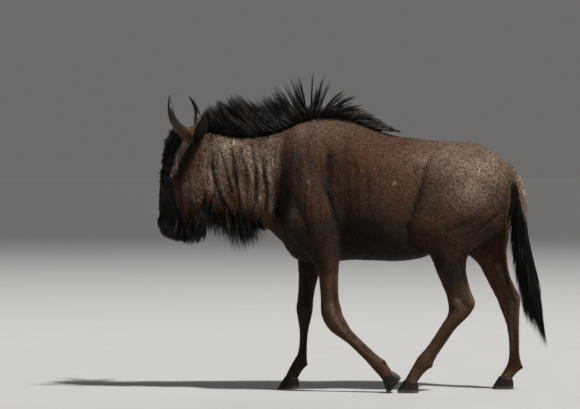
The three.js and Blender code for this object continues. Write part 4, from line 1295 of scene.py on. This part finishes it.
# The skin as a tree to look up its nearest places, and what its faces say: which way each faces, and where it
# lies on the map
skin_tree = bvhtree.BVHTree.FromPolygons(
    [v.co.copy() for v in skin_mesh.vertices], [tuple(p.vertices) for p in skin_mesh.polygons]
)
map_patch = 0.0026
first_loop = np.empty(len(skin_mesh.polygons), int)
skin_mesh.polygons.foreach_get("loop_start", first_loop)
skin_uv = np.empty(2 * len(skin_mesh.loops))
skin_mesh.uv_layers["OFBake"].uv.foreach_get("vector", skin_uv)
skin_uv = skin_uv.reshape(-1, 2)
face_uv = (skin_uv[first_loop] + skin_uv[first_loop + 2]) / 2
face_out = np.empty(3 * len(skin_mesh.polygons))
skin_mesh.polygons.foreach_get("normal", face_out)
face_out = face_out.reshape(-1, 3)


def settle(points):
    """The nearest places on the skin, the faces there, and their outward directions."""
    found = [skin_tree.find_nearest(Vector(p) * mm) for p in points]
    faces = np.array([f[2] for f in found])
    return np.array([f[0] for f in found]) / mm, faces, face_out[faces]


# A lock's share of its full width at places along it, from the root on
taper = ([0, 0.3, 0.7, 1], [0.75, 1, 0.6, 0.12])


def locks(
    name, root, bend, tip, wide, flat, rings, tone, faces, nodes=(), finish=long_hair, slot="hair", thick=0.4
):
    """Many locks as one mesh: from root, past bend, to tip. Thick is their share of thickness to width."""
    count, each = len(root), 3 * rings + 1
    t = (np.arange(rings) / rings)[None, :, None]
    path = (1 - t) ** 2 * root[:, None] + 2 * t * (1 - t) * bend[:, None] + t**2 * tip[:, None]
    ahead = (1 - t) * (bend - root)[:, None] + t * (tip - bend)[:, None]
    across = unit(np.cross(ahead, flat[:, None]))
    over = unit(np.cross(across, ahead))
    shape = np.interp(t[0, :, 0], *taper)[None, :, None]
    half, deep = wide.reshape(-1, 1, 1) / 2 * shape, (wide * thick).reshape(-1, 1, 1) * shape
    corners = np.stack([path - across * half, path + across * half, path + over * deep], axis=2)
    points = np.concatenate([corners.reshape(count, -1, 3), tip[:, None]], axis=1)
    # Each lock's triangles: its root, three sides between one ring and the next, and its point
    tris = [(0, 1, 2)]
    for k in range(rings):
        for c in range(3):
            a, b = 3 * k + c, 3 * k + (c + 1) % 3
            tris += [(a, a + 3, b + 3), (a, b + 3, b)] if k < rings - 1 else [(a, each - 1, b)]
    tris = (np.array(tris)[None] + each * np.arange(count)[:, None, None]).reshape(-1, 3)
    mesh = bpy.data.meshes.new(name)
    mesh.vertices.add(count * each)
    mesh.vertices.foreach_set("co", (points * mm).ravel())
    mesh.loops.add(tris.size)
    mesh.loops.foreach_set("vertex_index", tris.ravel())
    mesh.polygons.add(len(tris))
    mesh.polygons.foreach_set("loop_start", np.arange(0, tris.size, 3))
    mesh.update(calc_edges=True)
    # Each lock's own small patch of the map, about the place where it grows
    corner = np.tile(np.r_[np.tile([-1, 1, 0], rings), 0] * (map_patch / 2), (count, 1))
    rank = np.tile(np.r_[np.repeat(np.arange(rings), 3), rings] / rings, (count, 1))
    uv = face_uv[faces][:, None] + np.stack([corner, (rank - 0.5) * map_patch], axis=2)
    layer = mesh.uv_layers.new(name="OFBake")
    layer.uv.foreach_set("vector", uv.reshape(-1, 2)[tris.ravel()].ravel())
    colour_by(mesh, np.repeat(markings(root), each, axis=0))
    note(mesh, "tone", np.repeat(tone, each))
    note(mesh, "along", rank.ravel())
    mesh.materials.append(finish.material)
    return put(name, mesh, slot, *nodes)


def shared(mine, top=1.0):
    """The tone of each lock: mostly that of its clump, so that light and dark strands show."""
    return top * (0.6 * chance.random(mine.max() + 1)[mine] + 0.4 * chance.random(len(mine)))


def facing(way, count, loose=0.5):
    """The way that the flat of each lock faces, each turned a little from the rest."""
    return unit(way + chance.normal(0, loose, (count, 3)))


def near(u, spread_by, last):
    """Places along the rows, each a little away from its clump's own."""
    return (u + chance.normal(0, spread_by, len(u))).clip(0, last)


def many(rows, key, u):
    """The values of key at many places on the smooth line through the rows."""
    return np.array([along(rows, key, float(v)) for v in u])


def side_view(points, y):
    """Places given by x and z, at a distance from the middle."""
    return np.stack([points[:, 0], y, points[:, 1]], axis=1)


# Root, tip and bow of the mane's outline; how high the close under-hair reaches there; how many long locks
# grow there; and how many rows back the roots lie
mane_rows = table(
    "root tip bow full plenty lean",
    ((-760, 1312), (-746, 1390), (-4, 4), 0.9, 1, 0.2),
    ((-718, 1315), (-732, 1420), (4, 8), 0.9, 1, 0.5),
    ((-668, 1300), (-690, 1450), (6, 8), 0.85, 1, 0.9),
    ((-625, 1288), (-662, 1460), (10, 10), 0.8, 1, 1.1),
    ((-570, 1280), (-620, 1480), (12, 12), 0.76, 1, 1.2),
    ((-510, 1280), (-573, 1495), (14, 12), 0.72, 1, 1.2),
    ((-450, 1288), (-518, 1470), (14, 10), 0.7, 1, 1.2),
    ((-400, 1300), (-470, 1490), (14, 10), 0.64, 1, 1.1),
    ((-350, 1315), (-425, 1480), (12, 8), 0.56, 0.9, 1.0),
    ((-315, 1335), (-395, 1540), (10, 8), 0.46, 0.75, 0.9),
    ((-285, 1350), (-372, 1572), (8, 8), 0.38, 0.55, 0.8),
    ((-258, 1362), (-320, 1568), (6, 6), 0.32, 0.42, 0.6),
    ((-235, 1370), (-266, 1588), (4, 4), 0.28, 0.38, 0.4),
    ((-215, 1372), (-210, 1602), (0, 4), 0.26, 0.38, 0.2),
    ((-196, 1374), (-150, 1596), (-4, 8), 0.28, 0.38, 0),
    ((-165, 1374), (-72, 1552), (-10, 14), 0.32, 0.38, -0.2),
    ((-138, 1374), (-8, 1532), (-14, 20), 0.38, 0.42, -0.4),
    ((-102, 1371), (22, 1486), (-14, 24), 0.46, 0.5, -0.4),
    ((-60, 1366), (56, 1436), (-8, 26), 0.56, 0.6, -0.3),
    ((-15, 1352), (112, 1392), (0, 26), 0.68, 0.7, -0.2),
    ((35, 1333), (162, 1340), (4, 24), 0.8, 0.8, 0),
    ((85, 1312), (218, 1306), (6, 22), 0.9, 0.8, 0),
    ((130, 1296), (252, 1290), (6, 18), 0.9, 0.8, 0),
)
chance = np.random.default_rng(20)


def mane(name, count, clumps, under, root_side, tip_side, wide):
    """Locks of the mane, gathered into clumps. Under is true for the close hair below the long locks."""
    last = len(mane_rows) - 1
    row_at = np.arange(last + 1)
    fullness, plenty, lean_back = ([row[key] for row in mane_rows] for key in ("full", "plenty", "lean"))
    places = np.linspace(0, last, 400)
    thick_there = np.interp(places, row_at, np.ones(last + 1) if under else plenty)
    gather = chance.choice(places, clumps, p=thick_there / thick_there.sum())
    gather += chance.normal(0, 0.03, clumps)
    clump_side = chance.normal(0, tip_side, clumps)
    low = np.interp(gather, row_at, fullness)
    if under:
        clump_reach = chance.uniform(0.5, 1.0, clumps) * low
    else:
        clump_reach = low + (1.03 - low) * chance.random(clumps) ** 0.8
    mine = chance.integers(0, clumps, count)
    loose = 0.45 if under else 0.02 + 0.38 * low[mine]
    back = np.interp(gather[mine], row_at, lean_back)
    u_root = (gather[mine] + back + loose * chance.normal(0, 1, count)).clip(0, last)
    u_tip = near(gather[mine], 0.055, last)
    off = chance.normal(0, root_side, count).clip(-46, 46)
    root, faces, out = settle(side_view(many(mane_rows, "root", u_root), off))
    long = (clump_reach[mine] * (1 - (0.35 if under else 0.2) * chance.random(count) ** 2))[:, None]
    start = side_view(many(mane_rows, "root", u_tip), off)
    ends = side_view(many(mane_rows, "tip", u_tip), clump_side[mine] + 0.5 * off)
    tip = start + long * (ends - start) + chance.normal(0, 1.4, start.shape)
    bend = (root + tip) / 2 + long * 1.7 * side_view(many(mane_rows, "bow", u_root), 0 * off)
    bend += chance.normal(0, 2, tip.shape)
    flat = facing((0, 1, 0), count)
    wide = wide * chance.uniform(0.7, 1.3, count)
    locks(name, root - out * 6, bend, tip, wide, flat, 5, shared(mine), faces, ("neck", "torso"))


mane("mane_long", 4600, 230, False, 9, 15, 1.9)
mane("mane_under", 4000, 520, True, 20, 16, 2.4)

# Beard. Thinner, softer hair that hangs from the throat in uneven clumps, black with paler strands. It grows
# from the throat and from the sides of the neck's lower edge.
beard_rows = table(
    "root tip",
    ((-738, 905), (-742, 800)),
    ((-708, 893), (-705, 748)),
    ((-665, 872), (-662, 758)),
    ((-630, 862), (-615, 742)),
    ((-595, 855), (-576, 697)),
    ((-560, 848), (-543, 716)),
    ((-525, 840), (-505, 728)),
    ((-490, 832), (-470, 778)),
    ((-450, 820), (-430, 796)),
)
count, clumps, last = 2900, 150, len(beard_rows) - 1
gather, gather_side = chance.uniform(0, last, clumps), chance.normal(0, 26, clumps)
gather_reach = chance.uniform(0.45, 1.25, clumps)
mine = chance.integers(0, clumps, count)
u_root = near(gather[mine], 0.5, last)
high = chance.random(count) ** 1.6
off = (gather_side[mine] + chance.normal(0, 10, count)).clip(-44, 44)
root = side_view(many(beard_rows, "root", u_root), off * (1 + 0.6 * high))
root[:, 2] += 85 * high
root, faces, out = settle(root)
u_tip = near(gather[mine], 0.15, last)
ends = many(beard_rows, "tip", u_tip) - many(beard_rows, "root", u_tip)
long = gather_reach[mine] * (1 - 0.4 * chance.random(count) ** 2)
tip = root + long[:, None] * side_view(ends, 0 * off)
tip[:, 1] += 0.25 * (gather_side[mine] - off) + chance.normal(0, 3, count)
tip[:, 0] += 14 * np.sin(gather[mine] * 9) * long + chance.normal(0, 4, count)
bend = (root + tip) / 2 + out * 10 + chance.normal(0, 4, root.shape)
flat = facing((0, 1, 0), count)
wide = chance.uniform(1.0, 1.9, count)
locks("beard", root - out * 5, bend, tip, wide, flat, 5, shared(mine), faces, ("neck",))

# Brush of the face. Stiff black hair that stands out along the forehead and the bridge of the nose, in small
# pointed clumps, longest between the horns.
face_rows = table(
    "root out long",
    ((-872, 1302), (-0.55, 0.85), 40),
    ((-900, 1282), (-0.9, 0.4), 44),
    ((-922, 1232), (-0.98, -0.1), 42),
    ((-940, 1180), (-0.9, -0.45), 38),
    ((-952, 1128), (-0.75, -0.65), 36),
    ((-962, 1074), (-0.6, -0.8), 32),
    ((-969, 1020), (-0.45, -0.9), 26),
    ((-974, 965), (-0.35, -0.95), 20),
    ((-977, 905), (-0.25, -0.97), 14),
)
count, clumps, last = 5200, 420, len(face_rows) - 1
gather = last * chance.random(clumps) ** 1.15
gather_side = chance.normal(0, 22, clumps).clip(-50, 50) * (1 - 0.6 * ease(gather, 4, 6.5))
mine = chance.integers(0, clumps, count)
u = near(gather[mine], 0.1, last)
off = (gather_side[mine] + chance.normal(0, 5, count)).clip(-54, 54)
root, faces, out = settle(retold(side_view(many(face_rows, "root", u), off)))
u_tip = gather[mine]
leave = side_view(many(face_rows, "out", u_tip), 0.012 * gather_side[mine] + chance.normal(0, 0.08, count))
leave += chance.normal(0, 0.22, (clumps, 3))[mine]
leave[:, 2] -= 0.6 * np.abs(gather_side[mine]) / 50
gather_reach = chance.uniform(0.45, 1.0, clumps) * (1 - 0.4 * np.abs(gather_side) / 50)
long = many(face_rows, "long", u_tip) * gather_reach[mine]
middle = settle(retold(side_view(many(face_rows, "root", u_tip), gather_side[mine])))[0]
tip = 0.25 * root + 0.75 * middle + long[:, None] * unit(swung(leave, head_turn))
tip += chance.normal(0, 1.5, root.shape)
bend = root + 0.45 * (tip - root) + out * 4
flat = facing(out, count, 0.6)
wide = chance.uniform(1.2, 2.2, count)
locks("face_brush", root - out * 4, bend, tip, wide, flat, 4, shared(mine, 0.9), faces, ("head",))

# Jaw. Loose dark hair along both lower edges of the jaw, from the chin to the throat. It hangs down in clumps
# that are less close than those of the beard.
jaw_rows = table(
    "root tip",
    ((-715, 960), (-690, 880)),
    ((-745, 905), (-740, 815)),
    ((-772, 868), (-758, 778)),
    ((-800, 838), (-776, 756)),
    ((-822, 805), (-802, 742)),
)
count, clumps, last = 1500, 40, len(jaw_rows) - 1
gather = chance.uniform(0, last, clumps)
mine = chance.integers(0, clumps, count)
u = near(gather[mine], 0.3, last)
u_tip = near(gather[mine], 0.1, last)
off = np.sign(chance.random(count) - 0.5) * chance.uniform(4, 50, count)
start = side_view(many(jaw_rows, "root", u), off)
start[:, 2] += 50 * (np.abs(off) / 50) ** 2 * chance.random(count)
root, faces, out = settle(retold(start))
ends = many(jaw_rows, "tip", u_tip) - many(jaw_rows, "root", u_tip)
long = chance.uniform(0.5, 1.05, count)
way = side_view(ends, 0 * off)
tip = root + long[:, None] * swung(way, head_turn) + out * 6
bend = (root + tip) / 2 + out * 9 + np.array((-9, 0, 4))
tip += np.array((-6, 0, 0)) * long[:, None]
flat = facing(out, count)
wide = chance.uniform(1.4, 2.6, count)
locks("jaw_hair", root - out * 4, bend, tip, wide, flat, 5, 0.25 + shared(mine, 0.75), faces, ("head",))

# Chin. The lowest locks of the jaw are long and curled. Each is a pointed wisp of hairs that hangs off the
# jaw and hooks forward, lighter than the rest.
chin_rows = table(
    "root bend tip",
    ((-800, 850), (-795, 775), (-836, 738)),
    ((-790, 865), (-772, 790), (-800, 742)),
    ((-775, 880), (-748, 800), (-768, 748)),
    ((-762, 895), (-735, 820), (-748, 768)),
)
count, clumps, last = 640, 16, len(chin_rows) - 1
gather = chance.uniform(0, last, clumps)
gather_side = np.where(np.arange(clumps) % 2, 1, -1) * chance.uniform(8, 40, clumps)
gather_reach = chance.uniform(0.75, 1.1, clumps)
mine = chance.integers(0, clumps, count)
u = gather[mine]
spread_out = chance.normal(0, 1, (count, 3))
start = side_view(many(chin_rows, "root", u), gather_side[mine]) + spread_out * (7, 4, 9)
root, faces, out = settle(retold(start))
way = many(chin_rows, "bend", u) - many(chin_rows, "root", u)
bend = root + gather_reach[mine][:, None] * swung(side_view(way, 0 * u), head_turn) + out * 10
bend -= swung(spread_out * (4, 2, 4), head_turn)
way = many(chin_rows, "tip", u) - many(chin_rows, "bend", u)
hang = gather_reach[mine][:, None] * swung(side_view(way, 0 * u), head_turn)
tip = bend + hang * chance.uniform(0.7, 1, (count, 1)) - swung(spread_out * (2, 1.5, 3), head_turn)
flat = facing(out, count)
wide = chance.uniform(1.6, 2.6, count)
locks("chin_locks", root - out * 4, bend, tip, wide, flat, 8, 0.3 + shared(mine, 0.7), faces, ("head",))

# Tail. A bony dock under short hair carries a heavy black switch of long coarse hair that hangs below the
# hocks. The hair grows all along the dock, between the front and the back edge of the switch.
switch_front = table(
    "root tip",
    ((796, 1086), (768, 930)),
    ((818, 1052), (770, 840)),
    ((832, 930), (788, 690)),
    ((842, 800), (814, 540)),
    ((850, 640), (845, 400)),
    ((872, 620), (880, 310)),
)
switch_back = table(
    "root tip",
    ((866, 870), (880, 700)),
    ((880, 800), (925, 560)),
    ((885, 740), (948, 500)),
    ((893, 690), (958, 400)),
    ((890, 660), (970, 290)),
    ((888, 650), (984, 185)),
)
count, clumps, last = 5600, 130, len(switch_front) - 1
gather, gather_w = chance.uniform(0, 1, clumps) ** 0.7 * last, chance.random(clumps)
mine = chance.integers(0, clumps, count)
u = near(gather[mine], 0.35, last)
w = (gather_w[mine] + chance.normal(0, 0.12, count)).clip(0, 1)[:, None]
root = (1 - w) * many(switch_front, "root", u) + w * many(switch_back, "root", u)
tip = (1 - w) * many(switch_front, "tip", u) + w * many(switch_back, "tip", u)
round_side = np.sqrt(np.clip(1 - (2 * w[:, 0] - 1) ** 2, 0, 1))
off = chance.uniform(-1, 1, count) * round_side
root, faces, out = settle(side_view(root, off * 16))
tip = side_view(tip, off * (26 - 14 * ease(u, 3.5, 5)))
long = chance.uniform(0.72, 1.0, count)[:, None]
tip = root + (tip - root) * long
swell = np.stack([10 * (2 * w[:, 0] - 1) - 8, off * 16, 0 * off], axis=1)
bend = root + (tip - root) * 0.45 + swell + chance.normal(0, 2.5, root.shape)
flat = unit(np.stack([0.4 * chance.normal(0, 1, count), np.ones(count), 0 * off], axis=1))
wide = chance.uniform(1.8, 3.4, count)
locks("tail_switch", root - out * 4, bend, tip, wide, flat, 5, shared(mine, 0.86), faces, ("tail",))

# Short coat. Fine tufts that lie along the hide and break its outline, shortest on the face and shanks,
# longer on the neck, the cheeks and the backs of the thighs.
short_hair = Finish("coat tufts", IOR=1.3, Specular_IOR_Level=0.3)
tone = short_hair.kept("tone")
tip_share = short_hair.kept("along")
short_hair.worn(
    Base_Color=coat_colour(short_hair, short_hair.step(tone + tip_share * 0.25, -0.3, 1.1)),
    Roughness=short_hair.step(tone, 0, 1, 0.5, 0.7),
)
skin_mesh.calc_loop_triangles()
tri_count = len(skin_mesh.loop_triangles)
tri_points, tri_faces = np.empty(3 * tri_count, int), np.empty(tri_count, int)
tri_area = np.empty(tri_count)
skin_mesh.loop_triangles.foreach_get("vertices", tri_points)
skin_mesh.loop_triangles.foreach_get("polygon_index", tri_faces)
skin_mesh.loop_triangles.foreach_get("area", tri_area)
skin_at, skin_out = read(skin_mesh)
tri_points = tri_points.reshape(-1, 3)
tri_middle = skin_at[tri_points].mean(axis=1)


def lie(points):
    """The way the coat lies: back and down the body, down the legs and the face, back over the cheeks."""
    head = unturned(points)
    x, _, z = points.T
    way = np.tile((0.8, 0.0, -0.6), (len(points), 1))
    for share, other in (
        (1 - ease(x, -420, -250), (0.3, 0, -0.95)),
        (1 - ease(z, 600, 760), (0.12, 0, -1)),
        (ease(x, 560, 720), (0.45, 0, -0.9)),
        (ease(-head[:, 0], 700, 740), (0.45, 0, -0.9)),
        (ease(-head[:, 0], 850, 900), (0.0, 0, -1)),
    ):
        way += share[:, None] * (np.array(other) - way)
    return unit(way)


def tufts(name, count, density, long, wide, lift, rings=2):
    """Short tufts strewn over the skin. density, long and wide are worked out for each place."""
    share = density(tri_middle) * tri_area
    picked = chance.choice(tri_count, count, p=share / share.sum())
    a, b = chance.random(count), chance.random(count)
    a, b = np.where(a + b > 1, 1 - a, a), np.where(a + b > 1, 1 - b, b)
    weights = np.stack([1 - a - b, a, b], axis=1)[:, :, None]
    root = (skin_at[tri_points[picked]] * weights).sum(axis=1)
    out = unit((skin_out[tri_points[picked]] * weights).sum(axis=1))
    way = lie(root) + chance.normal(0, 0.12, root.shape)
    way = unit(way - out * (way * out).sum(axis=1)[:, None])
    length = (long(root) * chance.uniform(0.7, 1.25, count))[:, None]
    rise = chance.uniform(0.6, 1.3, count)[:, None] * lift
    tip = root + length * unit(way + out * rise)
    bend = root + length * 0.5 * way + out * length * rise * 0.75
    width = wide(root) * chance.uniform(0.75, 1.3, count)
    tone, faces = chance.random(count), tri_faces[picked]
    locks(name, root - out * 1.5, bend, tip, width, out, rings, tone, faces, (), short_hair, "coat", 0.35)


def coat_length(points):
    """How long the short coat is at each place, in millimetres."""
    head = unturned(points)
    x, _, z = points.T
    long = 13 + 7 * (1 - ease(x, -420, -250)) + 4 * ease(x, 640, 760)
    long -= 6 * (1 - ease(z, 560, 700))
    on_head = ease(-head[:, 0], 700, 740)
    long += on_head * (12 - long) + on_head * ease(-head[:, 0], 840, 880) * -4
    return np.maximum(long - 3 * (1 - ease(z, 150, 300)), 5)


def coat_width(points):
    """How wide each tuft is at its widest. Long tufts are wider."""
    return 1.1 + 0.085 * coat_length(points)


def clear_of_eyes(points):
    """0 on the eyes and nostrils, and 1 away from them."""
    head = unturned(points)
    return ease(side_gap(head, eye_at), 17, 24) * ease(side_gap(head, nostril_at), 18, 26)


def quarter(way, rear):
    """Chooses one side of the body (-1 is the left) and its rear or fore half. The fore half is denser."""

    def chosen(points):
        x, y, _ = points.T
        return (y * way > 0) * ((x > 20) == rear) * (1 + 1.2 * ease(-x, 300, 450)) * clear_of_eyes(points)

    return chosen


def cheeks(points):
    """The share of long cheek hair at each place, along the lower rear of the head."""
    x = -unturned(points)[:, 0]
    return ease(x, 690, 720) * (1 - ease(x, 830, 850)) * (1 - ease(points[:, 2], 1000, 1080))


for name, way in both_sides:
    tufts(f"coat_fore_{name}", 17500, quarter(way, False), coat_length, coat_width, 0.22)
    tufts(f"coat_rear_{name}", 14500, quarter(way, True), coat_length, coat_width, 0.22)
tufts("cheek_hair", 3000, cheeks, lambda p: np.full(len(p), 30.0), lambda p: np.full(len(p), 1.8), 0.3, 3)

# Studio. A plain pale matt floor and a soft even sky, with a main light from the picture's upper right and a
# weak one from behind. A long lens looks at the animal's left side from the height of its back.
camera_aim = Vector((-0.31, 0, 0.9325))
camera_away, camera_height = 14, 1.25
frame_width, film_width = 2.9, 36
floor_half = 80
bm = bmesh.new()
bmesh.ops.create_grid(bm, x_segments=1, y_segments=1, size=floor_half)
ground = finished(bm, "floor")
floor = bpy.data.objects.new("floor", ground)
bpy.context.scene.collection.objects.link(floor)
matt = Finish("floor", Roughness=0.9)
far = matt.node("ShaderNodeVectorMath", {"operation": "LENGTH"}, {0: matt.place}, "Value")
pale_floor = matt.mix(matt.grain((3, 3, 3), 3), (0.31, 0.30, 0.288, 1), (0.335, 0.325, 0.312, 1))
matt.worn(Base_Color=matt.mix(matt.step(far, 3, 24), pale_floor, (0.0515, 0.0505, 0.0493, 1)))
ground.materials.append(matt.material)
lens = bpy.data.cameras.new("camera")
lens.sensor_width = film_width
lens.lens = film_width * camera_away / frame_width
camera = bpy.data.objects.new("camera", lens)
camera.location = (camera_aim.x, -camera_away, camera_height)
camera.rotation_euler = (camera_aim - camera.location).to_track_quat("-Z", "Y").to_euler()
bpy.context.scene.collection.objects.link(camera)
bpy.context.scene.camera = camera
world = bpy.data.worlds.new("studio")
world.use_nodes = True
world.node_tree.nodes["Background"].inputs["Color"].default_value = (0.95, 0.93, 0.9, 1)
world.node_tree.nodes["Background"].inputs["Strength"].default_value = 0.16
bpy.context.scene.world = world
bpy.context.scene.view_settings.view_transform = "Standard"
for name, energy, angle, place in (("key", 6.2, 4, (4.2, -3.1, 8.6)), ("rim", 0.5, 30, (4, 6, 5))):
    light = bpy.data.lights.new(name, "SUN")
    light.energy = energy
    light.angle = math.radians(angle)
    lamp = bpy.data.objects.new(name, light)
    lamp.location = place
    lamp.rotation_euler = (-Vector(place)).to_track_quat("-Z", "Y").to_euler()
    bpy.context.scene.collection.objects.link(lamp)
